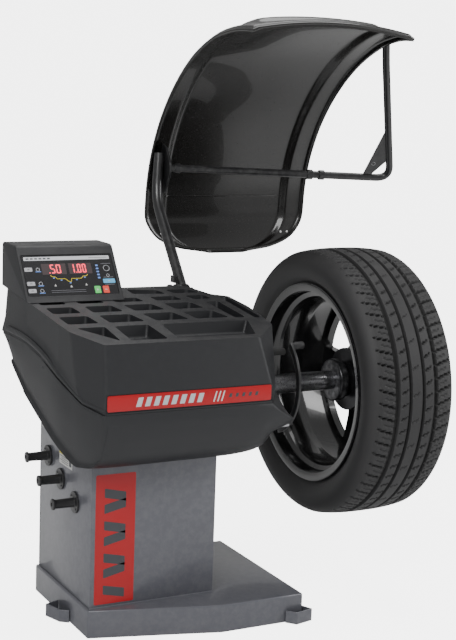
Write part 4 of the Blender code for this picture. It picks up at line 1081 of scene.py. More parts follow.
# ---------------------------------------------------------------- spindle and wheel
@dataclass
class SpindleLine:
    """The spindle's flange, cone, cup and quick nut, turned to their real edges."""

    shop: Workshop
    y: float = 0.179
    z: float = 0.533
    flange: tuple[tuple[float, float], ...] = (
        (0.7448, 0.0183), (0.7448, 0.0505), (0.746, 0.053), (0.748, 0.055), (0.75, 0.0555), (0.766, 0.0555),
        (0.769, 0.054), (0.772, 0.0465), (0.7735, 0.0452), (0.7755, 0.0448), (0.786, 0.045),
        (0.7885, 0.0462),
        (0.7892, 0.049), (0.7892, 0.0795), (0.7898, 0.0812), (0.791, 0.082), (0.8085, 0.082),
        (0.81, 0.0814),
        (0.8108, 0.08), (0.8108, 0.0475), (0.81, 0.0468), (0.778, 0.0412), (0.7776, 0.04), (0.7776, 0.0183),
    )

    def build(self) -> None:
        """Makes every piece of the line."""
        self._shaft()
        self.shop.piece(
            "flange_visual", Forge.turned(self.flange, self.y, self.z, 128), Look.DARK_STEEL, "spindle",
            ("spindle_flange",),
        )
        self._cone()
        self._cup()
        self._nut()
        self._housing()

    def _shaft(self) -> None:
        """The shaft with a chamfered step and the stub's rounded thread."""
        profile = [(0.044, 0), (0.044, 0.0235), (0.0455, 0.025), (0.7438, 0.025), (0.7443, 0.0245),
                   (0.7443, 0.018)]
        start, pitch, count = 0.848, 0.003, 38
        profile.append((start - 0.002, 0.018))
        for i in range(count):
            x = start + pitch * i
            profile += [(x, 0.0166), (x + 0.35 * pitch, 0.0166), (x + 0.5 * pitch, 0.0179),
                        (x + 0.85 * pitch, 0.0179)]
        profile += [(0.9632, 0.0166), (0.965, 0.0148), (0.965, 0)]
        shaft = Forge.turned(profile, self.y, self.z, 64)
        self.shop.piece("shaft_visual", shaft, Look.BRIGHT_STEEL, "spindle", ("spindle_shaft",))

    def _cone(self) -> None:
        """The centring cone with its small edge rounds, and the spring behind it."""
        profile = ((0.7962, 0.0184), (0.7962, 0.0385), (0.797, 0.0394), (0.7985, 0.0393), (0.812, 0.0328),
                   (0.833, 0.0242), (0.8339, 0.023), (0.8339, 0.0184))
        self.shop.piece(
            "cone_visual", Forge.turned(profile, self.y, self.z, 96), Look.BRIGHT_STEEL, "cone",
            ("centring_cone",)
        )
        turns, per_turn = 2.5, 48
        count = int(turns * per_turn)
        path = []
        for i in range(count + 1):
            a = 2 * math.pi * i / per_turn
            path.append((0.7798 + 0.0138 * i / count, self.y + 0.03 * math.cos(a),
                         self.z + 0.03 * math.sin(a)))
        wire = Forge.piped(path, 0.0016, sides=2)
        spring = self.shop.piece("cone_spring_visual", wire, Look.DARK_STEEL, "cone", ("cone_spring",))
        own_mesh(spring)

    def _cup(self) -> None:
        """The pressure cup with its soft lip."""
        x = 0.8388
        profile = ((x, 0.0525), (x + 0.0006, 0.0518), (x + 0.002, 0.0518), (x + 0.02, 0.0518),
                   (x + 0.0258, 0.0402),
                   (x + 0.026, 0.0184), (x + 0.0378, 0.0184), (x + 0.0378, 0.0385), (x + 0.037, 0.0402),
                   (x + 0.031, 0.0545), (x + 0.0295, 0.0559), (x + 0.006, 0.0578), (x + 0.0015, 0.058),
                   (x + 0.0003, 0.0572), (x, 0.056))
        cup = Forge.turned(profile, self.y, self.z, 96)
        self.shop.piece("cup_visual", cup, Look.SMALL_PLASTIC, "cup", ("pressure_cup",))

    def _nut(self) -> None:
        """The quick nut's hub, its two rounded wings and its grip grooves."""
        x = 0.8772
        profile = [(x, 0.0184), (x, 0.0332), (x + 0.001, 0.0342), (x + 0.004, 0.0359)]
        for i in range(5):
            groove = x + 0.03 + 0.0018 * i
            radius = 0.0338 - 0.0011 * i
            profile += [(groove, radius), (groove + 0.0006, radius - 0.0007),
                        (groove + 0.0012, radius - 0.0004)]
        profile += [(x + 0.0396, 0.0282), (x + 0.0398, 0.0268), (x + 0.0398, 0.0184)]
        hub = Forge.turned(profile, self.y, self.z, 96)
        wings = []
        for side in (-1, 1):
            inner, outer = self.y + side * 0.026, self.y + side * 0.0745
            outline = ((x + 0.0125, inner, self.z - 0.0088), (x + 0.0275, inner, self.z - 0.0088),
                       (x + 0.0275, inner, self.z + 0.0088), (x + 0.0125, inner, self.z + 0.0088))
            wings.append(Forge.drawn(outline, (0, outer - inner, 0), 0.005, 0.003))
        nut = Forge.carved(hub, wings, add=True)
        self.shop.piece("nut_visual", nut, Look.DARK_STEEL, "nut", ("quick_nut",), 0.0008, 2)

    def _housing(self) -> None:
        """Bolts round the spindle housing's flange on the column's right side."""
        heads = []
        for i in range(6):
            a = math.radians(60 * i + 30)
            seat = (0.3393, self.y + 0.056 * math.cos(a), self.z + 0.056 * math.sin(a))
            heads.append(Forge.screw(seat, (1, 0, 0), 0.0042, 0.0036))
        self.shop.piece("housing_bolts", Forge.merged(heads), Look.DARK_STEEL, "stand")


@dataclass
class Wheel:
    """The alloy rim and its tyre."""

    shop: Workshop
    y: float = 0.179
    z: float = 0.533
    middle: float = 0.78
    tread_half: float = 0.098
    blocks: int = 66
    per_block: int = 8
    groove_places: tuple[float, ...] = (-0.056, -0.0195, 0.0195, 0.056)
    groove_half: float = 0.0048
    groove_depth: float = 0.0075
    sidewall: tuple[tuple[float, float], ...] = (
        (0.1004, 0.2422), (0.1018, 0.247), (0.103, 0.253), (0.1046, 0.259), (0.1072, 0.2632),
        (0.111, 0.2668),
        (0.115, 0.271), (0.118, 0.276), (0.1206, 0.282), (0.1226, 0.288), (0.124, 0.294), (0.1244, 0.299),
        (0.1242, 0.305), (0.1232, 0.311), (0.1212, 0.3168), (0.1184, 0.3222), (0.1146, 0.3276),
        (0.11, 0.3326),
        (0.105, 0.3364), (0.1, 0.3388),
    )
    lining: tuple[tuple[float, float], ...] = (
        (0.0902, 0.2424), (0.0932, 0.264), (0.11, 0.293), (0.1, 0.318), (0.07, 0.331), (0.0, 0.334),
    )

    def build(self) -> None:
        """Makes the tyre, the rim and the valve."""
        self._tyre()
        self._rim()
        self._valve()

    def _crown(self, x: float) -> float:
        """Radius of the tread at x from the tyre's middle."""
        share = abs(x) / self.tread_half
        return 0.3465 - 0.0066 * share ** 2.6

    def _profile(self) -> list[tuple[float, float]]:
        """The tyre's closed section, with enough rows over the tread for its grooves."""
        count = 56
        tread = [-self.tread_half + 2 * self.tread_half * i / count for i in range(count + 1)]
        left = []
        for i, (x, radius) in enumerate(self.sidewall):
            ring = 0.0005 if i in (5, 8, 12) else 0.0
            left.append((-x, radius + ring))
        skin = left + [(x, self._crown(x)) for x in tread] + [(-x, radius) for x, radius in reversed(left)]
        inside = list(self.lining) + [(-x, radius) for x, radius in reversed(self.lining[:-1])]
        return [(self.middle + x, radius) for x, radius in skin + inside]

    def _depth(self, x: float, turn: float) -> float:
        """How far the tread is cut down at a place.

        Args:
            x: distance from the tyre's middle.
            turn: place round the tyre, in blocks.

        Returns:
            The depth in metres.
        """
        for place in self.groove_places:
            if abs(x - place) < self.groove_half:
                return self.groove_depth
        inner = abs(x) < 0.014
        between = 0.0255 < abs(x) < 0.05
        shoulder = abs(x) > 0.0615
        side = 1.0 if x > 0 else -1.0
        if shoulder:
            lean = 0.5 * side + 9.0 * abs(x)
            phase = (turn + lean) % 1.0
            return 0.0062 if phase < 0.13 else 0.0025 if 0.5 < phase < 0.6 and abs(x) < 0.088 else 0.0
        if between:
            phase = (turn + 16.0 * x + 0.25 * side) % 1.0
            return 0.005 if phase < 0.13 and abs(x) < 0.044 else 0.0
        if inner:
            phase = (0.5 * turn + 6.0 * x) % 1.0
            return 0.003 if phase < 0.065 and x < 0.006 else 0.0
        return 0.0

    def _tyre(self) -> None:
        """Spins the section and presses the grooves into the tread."""
        steps = self.blocks * self.per_block
        mesh = Forge.turned(self._profile(), self.y, self.z, steps)
        # the groove depth kept on the mesh drives the painted shade in the grooves
        layer = mesh.verts.layers.float.new("groove_depth")
        for vert in mesh.verts:
            across, along = vert.co.y - self.y, vert.co.z - self.z
            radius = math.hypot(across, along)
            x = vert.co.x - self.middle
            if radius < 0.335 or abs(x) > self.tread_half + 0.004:
                continue
            turn = (math.atan2(along, across) / (2 * math.pi) % 1.0) * self.blocks
            depth = self._depth(x, turn)
            vert[layer] = min(1.0, depth / self.groove_depth)
            share = 1.0 - depth / radius
            vert.co.y = self.y + across * share
            vert.co.z = self.z + along * share
        self.shop.piece("tyre_visual", mesh, Look.TYRE_RUBBER, "wheel", ("tyre",), smooth=24)

    def _rim(self) -> None:
        """Turns the barrel and disc, then opens the windows between the spokes and the bolt holes."""
        half, flange, bead, pad = 0.112, 0.2588, 0.241, 0.0325
        barrel = [
            (-half, flange - 0.006), (-half + 0.0002, flange - 0.003), (-half + 0.0012, flange - 0.0008),
            (-half + 0.003, flange), (-half + 0.0048, flange - 0.0008), (-half + 0.0062, flange - 0.004),
            (-half + 0.0068, bead + 0.004), (-half + 0.0085, bead), (-0.078, bead - 0.0015),
            (-0.074, 0.236),
            (-0.069, 0.2265), (-0.064, 0.2232), (-0.022, 0.223), (-0.012, 0.2255), (0.006, 0.2325),
            (0.016, 0.2345), (0.08, bead - 0.0012), (half - 0.0085, bead), (half - 0.0068, bead + 0.004),
            (half - 0.0062, flange - 0.004), (half - 0.0048, flange - 0.0008), (half - 0.003, flange),
            (half - 0.0012, flange - 0.0008), (half - 0.0002, flange - 0.003), (half, flange - 0.006),
        ]
        disc = [
            (half - 0.004, 0.2366), (0.1015, 0.2352), (0.102, 0.225), (0.104, 0.205), (0.103, 0.175),
            (0.1005, 0.14), (0.096, 0.11), (0.085, 0.093), (pad + 0.033, 0.08), (pad + 0.027, 0.0745),
            (pad + 0.026, 0.07), (pad + 0.026, 0.0345), (pad + 0.025, 0.0335), (pad + 0.0008, 0.0335),
            (pad, 0.0343), (pad, 0.079), (pad + 0.0012, 0.0806), (pad + 0.01, 0.086), (0.06, 0.099),
            (0.07, 0.11), (0.077, 0.15), (0.082, 0.205), (0.0818, 0.2335),
        ]
        inside = [
            (0.015, 0.229), (0.006, 0.227), (-0.013, 0.22), (-0.023, 0.2177), (-0.064, 0.2175),
            (-0.071, 0.2215), (-0.077, 0.233), (-0.081, 0.235), (-half + 0.004, 0.2366),
        ]
        profile = [(self.middle + x, radius) for x, radius in barrel + disc + inside]
        rim = Forge.turned(profile, self.y, self.z, 180)
        rim = Forge.carved(rim, self._windows() + self._bolt_holes())
        self.shop.piece("rim_visual", rim, Look.RIM_PAINT, "wheel", ("rim",), 0.0022, 3, smooth=32)

    def _windows(self) -> list[BMesh]:
        """Cutters for the openings between the five spokes, with round corners."""
        cutters = []
        half_spoke, draw_in, step = math.radians(11.5), math.radians(9.0), 2 * math.pi / 5
        for i in range(5):
            start, end = i * step + half_spoke, (i + 1) * step - half_spoke
            outline = [(0.2205, start + (end - start) * k / 14) for k in range(15)]
            near, far = start + draw_in, end - draw_in
            outline += [(0.0985, far + (near - far) * k / 8) for k in range(9)]
            points = [(0.8, self.y + r * math.cos(a), self.z + r * math.sin(a)) for r, a in outline]
            cutter = Forge.drawn(points, (0.1, 0, 0))
            along = [e for e in cutter.edges if Forge.share_along(e, Vector((1, 0, 0))) > UPRIGHT]
            Forge.bevelled(cutter, [e for e in along if e.calc_face_angle(0.0) > 0.6], 0.012, 5)
            cutters.append(cutter)
        return cutters

    def _bolt_holes(self) -> list[BMesh]:
        """Cutters for the wheel bolt holes."""
        cutters = []
        for i in range(5):
            a = math.radians(72 * i + 36)
            y, z = self.y + 0.057 * math.cos(a), self.z + 0.057 * math.sin(a)
            cutters.append(Forge.turned(((0.8, 0), (0.8, 0.008), (0.86, 0.008), (0.86, 0)), y, z, 31,
                                        closed=False))
        return cutters

    def _valve(self) -> None:
        """The rubber valve and its cap."""
        a = math.radians(108)
        stations = ((0.838, 0.229), (0.846, 0.224), (0.854, 0.218), (0.862, 0.213), (0.876, 0.2095),
                    (0.8905, 0.2062))
        path = [(x, self.y + r * math.cos(a), self.z + r * math.sin(a)) for x, r in stations]
        self.shop.piece("valve_visual", Forge.piped(path, 0.0039), Look.RUBBER, "wheel", ("valve_stem",))
        cap = Forge.piped([Vector(path[-1]).lerp(Vector(path[-2]), t) for t in (0.75, 0.0)], 0.0042)
        self.shop.piece("valve_cap", cap, Look.SMALL_PLASTIC, "wheel")


# ---------------------------------------------------------------- head
@dataclass
class Head:
    """The weight tray, the casing under it and the film band on its front."""

    shop: Workshop
    height: float = 0.727
    slope: float = 0.1
    pocket_depth: float = 0.03
    seam: tuple[tuple[float, float], ...] = (
        (-0.113, 0.5585), (-0.0375, 0.57), (0.07, 0.611), (0.158, 0.6405), (0.28, 0.658), (0.6, 0.658),
    )
    rings: tuple[tuple[Point, Point, float, Point], ...] = (
        ((-0.017, -0.108), (-0.013, -0.113), 0.606, (-0.013, -0.113)),
        ((0.368, -0.112), (0.404, -0.113), 0.604, (0.408, -0.113)),
        ((0.453, -0.016), (0.456, -0.036), 0.612, (0.458, -0.0375)),
        ((0.468, 0.07), (0.471, 0.07), 0.63, (0.477, 0.07)),
        ((0.479, 0.158), (0.482, 0.158), 0.655, (0.486, 0.158)),
        ((0.477, 0.262), (0.48, 0.264), 0.68, (0.484, 0.28)),
        ((0.441, 0.288), (0.444, 0.29), 0.68, (0.447, 0.292)),
        ((0.416, 0.368), (0.419, 0.37), 0.68, (0.421, 0.372)),
        ((0.388, 0.386), (0.39, 0.389), 0.68, (0.392, 0.391)),
        ((0.205, 0.387), (0.207, 0.39), 0.68, (0.208, 0.392)),
        ((0.192, 0.452), (0.193, 0.454), 0.68, (0.194, 0.456)),
        ((-0.05, 0.452), (-0.055, 0.454), 0.695, (-0.063, 0.456)),
        ((-0.055, 0.28), (-0.055, 0.28), 0.697, (-0.065, 0.28)),
        ((-0.055, 0.158), (-0.055, 0.158), 0.676, (-0.064, 0.158)),
        ((-0.055, 0.07), (-0.055, 0.07), 0.645, (-0.06, 0.07)),
        ((-0.054, 0.007), (-0.045, -0.012), 0.606, (-0.04, -0.0375)),
    )
    front_edges: tuple[float, ...] = (-0.034, 0.04, 0.068, 0.153, 0.183, 0.266, 0.289, 0.373)
    rear_edges: tuple[float, ...] = (-0.035, 0.029, 0.062, 0.127, 0.158, 0.231, 0.268, 0.336)
    rows: tuple[tuple[float, float], ...] = ((0.067, 0.133), (0.161, 0.217), (0.245, 0.283))
    odd_pockets: tuple[tuple[Point, ...], ...] = (
        ((-0.028, 0.035), (0.033, -0.082), (0.043, 0.035)),
        ((0.058, -0.082), (0.148, -0.084), (0.152, 0.037), (0.066, 0.036)),
        ((0.172, -0.084), (0.371, -0.086), (0.413, 0.034), (0.183, 0.037)),
        ((0.393, 0.06), (0.421, 0.06), (0.424, 0.217), (0.39, 0.217)),
        ((0.372, 0.245), (0.421, 0.245), (0.414, 0.283), (0.362, 0.283)),
        ((0.348, 0.309), (0.418, 0.309), (0.399, 0.347), (0.338, 0.347)),
        ((0.236, 0.317), (0.324, 0.309), (0.313, 0.347), (0.237, 0.366)),
        ((0.443, 0.05), (0.46, 0.054), (0.468, 0.258), (0.449, 0.262)),
    )
    stations: tuple[tuple[float, ...], ...] = (
        (-0.113, -0.013, 0.408, 0.53, 0.006),
        (-0.108, -0.018, 0.413, 0.49, 0.03),
        (-0.095, -0.023, 0.422, 0.452, 0.05),
        (-0.07, -0.031, 0.438, 0.43, 0.05),
        (-0.0375, -0.04, 0.458, 0.422, 0.036),
        (0.0, -0.048, 0.466, 0.42, 0.028),
        (0.07, -0.06, 0.477, 0.448, 0.017),
        (0.158, -0.064, 0.486, 0.483, 0.008),
        (0.28, -0.065, 0.484, 0.53, 0.006),
        (0.292, -0.065, 0.447, 0.536, 0.004),
        (0.372, -0.065, 0.421, 0.58, 0.003),
        (0.39, -0.064, 0.392, 0.592, 0.002),
        (0.393, -0.064, 0.208, 0.595, 0.002),
        (0.44, -0.063, 0.196, 0.643, 0.0),
    )

    def build(self) -> None:
        """Makes every piece of the head."""
        self._tray()
        self._ridge()
        self._casing()
        self._band()
        self._fixings()

    def top(self, y: float) -> float:
        """Height of the tray's sloping top."""
        return self.height + self.slope * y

    def _outlines(self) -> list[tuple[Point, ...]]:
        """Plan outlines of the pockets."""
        front_y, rear_y = 0.098, 0.263

        def edge(i: int, y: float) -> float:
            """Place across of a column's edge."""
            front, rear = self.front_edges[i], self.rear_edges[i]
            return front + (rear - front) * (y - front_y) / (rear_y - front_y)

        found: list[tuple[Point, ...]] = []
        for y0, y1 in self.rows:
            for i in (0, 2, 4, 6):
                corners = ((i, y0), (i + 1, y0), (i + 1, y1), (i, y1))
                found.append(tuple((edge(column, y), y) for column, y in corners))
        return found + list(self.odd_pockets)

    def _tray(self) -> None:
        """Lofts the tray and sinks its pockets."""
        top = [(*ring[0], self.top(ring[0][1])) for ring in self.rings]
        ridge = [(*ring[1], ring[2]) for ring in self.rings]
        seam = [(*ring[3], knotted(self.seam, ring[3][1]) + 0.0004) for ring in self.rings]
        mesh = Forge.lofted((seam, ridge, top))
        upright = [e for e in mesh.edges if abs(e.verts[1].co.z - e.verts[0].co.z) > 0.02]
        Forge.bevelled(mesh, upright, 0.01, 4)
        cutters = [self._pocket(outline) for outline in self._outlines()]
        cutters.append(Forge.block((-0.012, -0.13, 0.5625), (0.407, -0.1098, 0.605)))
        cutters.append(Forge.block((0.395, 0.34, 0.54), (0.413, 0.5, 0.7)))
        tray = Forge.carved(mesh, cutters)
        self.shop.piece("tray_visual", tray, Look.CASING_PLASTIC, "stand", ("weight_tray",), 0.0026, 4,
                        smooth=40)

    def _pocket(self, outline: Sequence[Point]) -> BMesh:
        """A pocket's cutter, drawn in a little at its floor, with round corners."""
        middle = Vector((sum(p[0] for p in outline), sum(p[1] for p in outline))) / len(outline)
        rings = []
        for z_off, share in ((-self.pocket_depth, 0.93), (0.004, 1.0), (0.02, 1.0)):
            ring = [middle + (Vector(p) - middle) * share for p in outline]
            rings.append([(p.x, p.y, self.top(p.y) + z_off) for p in ring])
        mesh = Forge.lofted(rings)
        upright = [e for e in mesh.edges if abs(e.verts[1].co.z - e.verts[0].co.z) > 0.012]
        Forge.bevelled(mesh, upright, 0.008, 5)
        low = min(v.co.z for v in mesh.verts) + 0.012
        floor = [f for f in mesh.faces if f.normal.z < -0.9 and f.calc_center_median().z < low]
        Forge.bevelled(mesh, dict.fromkeys(e for f in floor for e in f.edges), 0.006, 4)
        return mesh

    def _ridge(self) -> None:
        """The rounded rail that runs up the left side above the joint."""
        line = Track(((-0.117, 0.56), (-0.04, 0.569), (0.069, 0.611), (0.158, 0.642), (0.284, 0.66),
                      (0.414, 0.661)))

        def left_x(y: float) -> float:
            """The side's place across at y."""
            knots = ((-0.113, -0.013), (-0.0375, -0.04), (0.07, -0.06), (0.158, -0.064), (0.28, -0.065))
            return knotted(knots, y)

        def place(u: float, w: float) -> Vector:
            """A point of the rail, u round its section and w along it."""
            y, z = line.at(w)
            x = left_x(y)
            height = 0.015
            swell = 0.003 * math.sin(math.pi * u) ** 0.6
            return Vector((max(x - 0.0004 - swell + 0.003, -0.0649), max(y, -0.112),
                           z + 0.0015 + height * u))

        mesh = Forge.thickened(Forge.draped(10, 90, place), 0.003)
        self.shop.piece("side_rail", mesh, Look.CASING_PLASTIC, "stand")

    def _casing_ring(self, station: Sequence[float]) -> list[tuple[float, float]]:
        """Section of the casing as (x, z), from left top round to right top."""
        y, left, right, bottom, bulge = station
        seam = knotted(self.seam, y) - 0.0004
        height = seam - bottom
        return [
            (left, seam), (left, seam - 0.1 * height), (left + 0.002, seam - 0.45 * height),
            (left + 0.01, bottom + 0.1 * height), (left + 0.026, bottom),
            (left + 0.5 * (right - left), bottom),
            (right - 0.1, bottom + 0.02 * height), (right - 0.035, bottom + 0.12 * height),
            (right - 0.004, bottom + 0.34 * height), (right + bulge, bottom + 0.52 * height),
            (right + 0.7 * bulge, bottom + 0.68 * height), (right, seam - 0.04 * height), (right, seam),
        ]

    def _casing_block(self, inset: float, lift: float) -> BMesh:
        """The casing's outer form as a closed solid.

        Args:
            inset: how far its sides stand in.
            lift: how far its top stands above the joint.

        Returns:
            The solid.
        """
        lengthwise = Track(tuple(self.stations))
        across = 0.86

        def place(u: float, w: float) -> Vector:
            """A point of the solid, u round its section and w from front to back."""
            low = 0.02 if inset else 0.0
            y, left, right, bottom, bulge = lengthwise.at(low + w * (1.0 - 2.0 * low))
            seam = knotted(self.seam, y) - 0.0004
            ring = self._casing_ring((y, left + inset, right - inset, bottom + inset, bulge))
            x, z = Track(tuple(ring)).at(min(u / across, 1.0))
            if u > across:
                t = (u - across) / (1.0 - across)
                (x0, _), (x1, _) = ring[-1], ring[0]
                x, z = x0 + (x1 - x0) * t, seam
            if z > seam - 0.0001:
                z = seam + lift
            return Vector((max(x, inset - 0.0648), y, z))

        mesh = Forge.draped(86, 96, place)
        bmesh.ops.remove_doubles(mesh, verts=mesh.verts, dist=MERGE)
        bmesh.ops.holes_fill(mesh, edges=[e for e in mesh.edges if e.is_boundary], sides=0)
        bmesh.ops.dissolve_degenerate(mesh, dist=1e-6, edges=mesh.edges)
        return mesh

    def _casing(self) -> None:
        """Hollows the smooth casing and opens it for the column, the spindle and the gauge."""
        cutters = [
            self._casing_block(0.0045, 0.02),
            Forge.block((0.0045, 0.0055, 0.38), (0.3315, 0.3521, 0.7)),
            Forge.turned(((0.38, 0), (0.38, 0.056), (0.56, 0.056), (0.56, 0)), 0.179, 0.533, 96,
                         closed=False),
            Forge.turned(((0.38, 0), (0.38, 0.0145), (0.56, 0.0145), (0.56, 0)), -0.03, 0.482, 48,
                         closed=False),
            Forge.block((0.395, 0.34, 0.5), (0.413, 0.5, 0.7)),
        ]
        shell = Forge.carved(self._casing_block(0.0, 0.0), cutters)
        self.shop.piece("casing_visual", shell, Look.CASING_PLASTIC, "stand", ("head_lower_casing",),
                        smooth=45)

    def _band(self) -> None:
        """The red film, with leaning bars where a maker would put its name."""
        (x0, front, z0), (x1, back, z1) = (-0.0085, -0.1112, 0.5655), (0.4035, -0.1103, 0.602)
        outline = ((x0, front, z0), (x1, front, z0), (x1, front, z1), (x0, front, z1))
        film = Forge.drawn(outline, (0, back - front, 0), 0.004, 0.0002)
        self.shop.piece("band_visual", film, Look.BAND_FILM, "stand", ("front_band",))
        middle = 0.5838
        for name, ink, count, start, pitch, width, rise in (
            ("band_bars", "silver_ink", 8, 0.06, 0.0215, 0.0125, 0.021),
            ("band_lines", "paper", 3, 0.252, 0.01, 0.0035, 0.024),
            ("band_marks", "dark_ink", 5, 0.292, 0.017, 0.007, 0.009),
        ):
            foot = middle - 0.5 * rise
            places = [start + pitch * i for i in range(count)]
            bars = [self._leaning(x, width, foot, rise, front - ABOVE) for x in places]
            self.shop.piece(name, Forge.merged(bars), ink, "stand")

    @staticmethod
    def _leaning(x: float, width: float, foot: float, rise: float, y: float) -> BMesh:
        """A bar on the band that leans to the right."""
        lean = 0.3 * rise
        outline = ((x, y, foot), (x + width, y, foot), (x + width + lean, y, foot + rise),
                   (x + lean, y, foot + rise))
        return Forge.drawn(outline, (0, 0.0003, 0), 0.0008)

    def _fixings(self) -> None:
        """Screws along the casing's left side."""
        places = ((0.15, 0.62), (0.4, 0.64))
        heads = [Forge.screw((-0.0648 + 0.0012, y, z), (-1, 0, 0), 0.004, 0.0012) for y, z in places]
        self.shop.piece("casing_screws", Forge.merged(heads), Look.DARK_STEEL, "stand")


@dataclass
class Console:
    """The display's housing with its film, segments and keys."""

    shop: Workshop
    foot: Vector = field(default_factory=lambda: Vector((0.0, 0.272, 0.765)))
    up: Vector = field(default_factory=lambda: Vector((0.0, 0.574, 0.8189)))
    out: Vector = field(default_factory=lambda: Vector((0.0, -0.8189, 0.574)))
    panel_x: tuple[float, float] = (-0.0555, 0.18)
    panel_v: tuple[float, float] = (0.0045, 0.115)
    face: float = -0.0007
    ink: float = 0.0004

    def build(self) -> None:
        """Makes the housing, the film and everything drawn on it."""
        self._housing()
        self._panel()
        self._digits()
        self._wheel_outline()
        self._icons()
        self._keys()

    def at(self, x: float, v: float, out: float = 0.0) -> Vector:
        """A point on the tilted face: x across, v up its slope, out from it."""
        return self.foot + self.up * v + self.out * out + Vector((x, 0.0, 0.0))

    def _tile(self, points: Sequence[Point], low: float, high: float, corner: float = 0.0) -> BMesh:
        """A flat tile on the face.

        Args:
            points: its outline as (x, v).
            low: how far its back stands out.
            high: how far its front stands out.
            corner: rounding of its corners.

        Returns:
            The tile.
        """
        return Forge.drawn([self.at(x, v, low) for x, v in points], self.out * (high - low), corner)

    def _box(self, x0: float, x1: float, v0: float, v1: float, low: float, high: float,
             corner: float = 0.0) -> BMesh:
        """A flat rectangular tile on the face."""
        return self._tile(((x0, v0), (x1, v0), (x1, v1), (x0, v1)), low, high, corner)

    def _mark(self, x0: float, x1: float, v0: float, v1: float, corner: float = 0.0) -> BMesh:
        """A flat rectangular mark printed on the film."""
        return self._box(x0, x1, v0, v1, self.face, self.face + self.ink, corner)

    def _housing(self) -> None:
        """Extrudes the housing, rounds it and sinks the film's bed."""
        corners = ((0.262, 0.7541), (0.27, 0.764), (0.352, 0.88), (0.362, 0.8829), (0.446, 0.8829),
                   (0.4519, 0.877), (0.4519, 0.7729))
        path = rounded([(-0.0634, y, z) for y, z in corners], 0.004, 4)
        body = Forge.drawn(path, (0.2538, 0, 0))
        ends = [e for e in body.edges if Forge.share_along(e, Vector((1, 0, 0))) < LEVEL]
        Forge.bevelled(body, ends, 0.003, 3)
        (x0, x1), (v0, v1) = self.panel_x, self.panel_v
        bed = self._box(x0 - 0.0008, x1 + 0.0008, v0 - 0.0008, v1 + 0.0008, -0.0056, 0.02, 0.004)
        body = Forge.carved(body, [bed])
        self.shop.piece("console_visual", body, Look.CASING_PLASTIC, "stand", ("console_housing",), 0.001,
                        3)
        back = 0.4519 - 0.0012
        corners = [(x, back, z) for x in (-0.05, 0.177) for z in (0.79, 0.865)]
        heads = [Forge.screw(corner, (0, 1, 0), 0.0034, 0.0012) for corner in corners]
        self.shop.piece("console_screws", Forge.merged(heads), Look.DARK_STEEL, "stand")

    def _panel(self) -> None:
        """The film with its pale heading strip, the marks on it and the two reading windows."""
        (x0, x1), (v0, v1) = self.panel_x, self.panel_v
        panel = self._box(x0, x1, v0, v1, -0.004, self.face, 0.003)
        self.shop.piece("panel_visual", panel, Look.SCREEN, "stand", ("display_panel",), 0.0003, 2)
        front = self.face
        strip = self._box(x0 + 0.006, x1 - 0.006, v1 - 0.0135, v1 - 0.0035, front - 0.0001, front + 0.0002,
                          0.002)
        self.shop.piece("panel_strip", strip, "pale_ink", "stand")
        marks = [self._box(x0 + 0.012 + 0.011 * i, x0 + 0.019 + 0.011 * i, v1 - 0.0105, v1 - 0.0065, front,
                           front + 0.0003)
                 for i in range(6)]
        marks.append(self._box(x1 - 0.06, x1 - 0.012, v1 - 0.0092, v1 - 0.008, front, front + 0.0003))
        self.shop.piece("panel_strip_marks", Forge.merged(marks), "dark_ink", "stand")
        windows = [
            self._box(a, b, 0.0625, 0.092, front - 0.0001, front + 0.0001, 0.0015)
            for a, b in ((-0.008, 0.055), (0.062, 0.122))
        ]
        self.shop.piece("panel_windows", Forge.merged(windows), "unlit_segment", "stand")

    def _digits(self) -> None:
        """Two lit readings of seven segments each."""
        lit = []
        for text, x, v, width, height in ((".50", 0.01, 0.0655, 0.015, 0.024),
                                          ("1.00", 0.067, 0.0655, 0.013, 0.024)):
            lit += self._reading(text, x, v, width, height)
        self.shop.piece("lit_segments", Forge.merged(lit), "lit_red", "stand")

    def _reading(self, text: str, x: float, v: float, width: float, height: float) -> list[BMesh]:
        """The lit segments of a number.

        Args:
            text: digits and points.
            x: left end.
            v: foot on the slope.
            width: pitch from one digit to the next.
            height: a digit's height.

        Returns:
            A tile for each segment.
        """
        shapes = {"0": "abcdef", "1": "bc", "5": "acdfg"}
        bar, inset = 0.0026, 0.0008
        tiles = []
        for sign in text:
            if sign == ".":
                tiles.append(self._mark(x, x + bar, v, v + bar, 0.0006))
                x += 0.0042
                continue
            right, half = x + width - 0.0035, v + height / 2
            places = {
                "a": (x + bar, right - bar, v + height - bar, v + height),
                "d": (x + bar, right - bar, v, v + bar),
                "g": (x + bar, right - bar, half - bar / 2, half + bar / 2),
                "b": (right - bar, right, half + inset, v + height - inset),
                "c": (right - bar, right, v + inset, half - inset),
                "f": (x, x + bar, half + inset, v + height - inset),
                "e": (x, x + bar, v + inset, half - inset),
            }
            for segment in shapes[sign]:
                tiles.append(self._mark(*places[segment], 0.0008))
            x += width
        return tiles

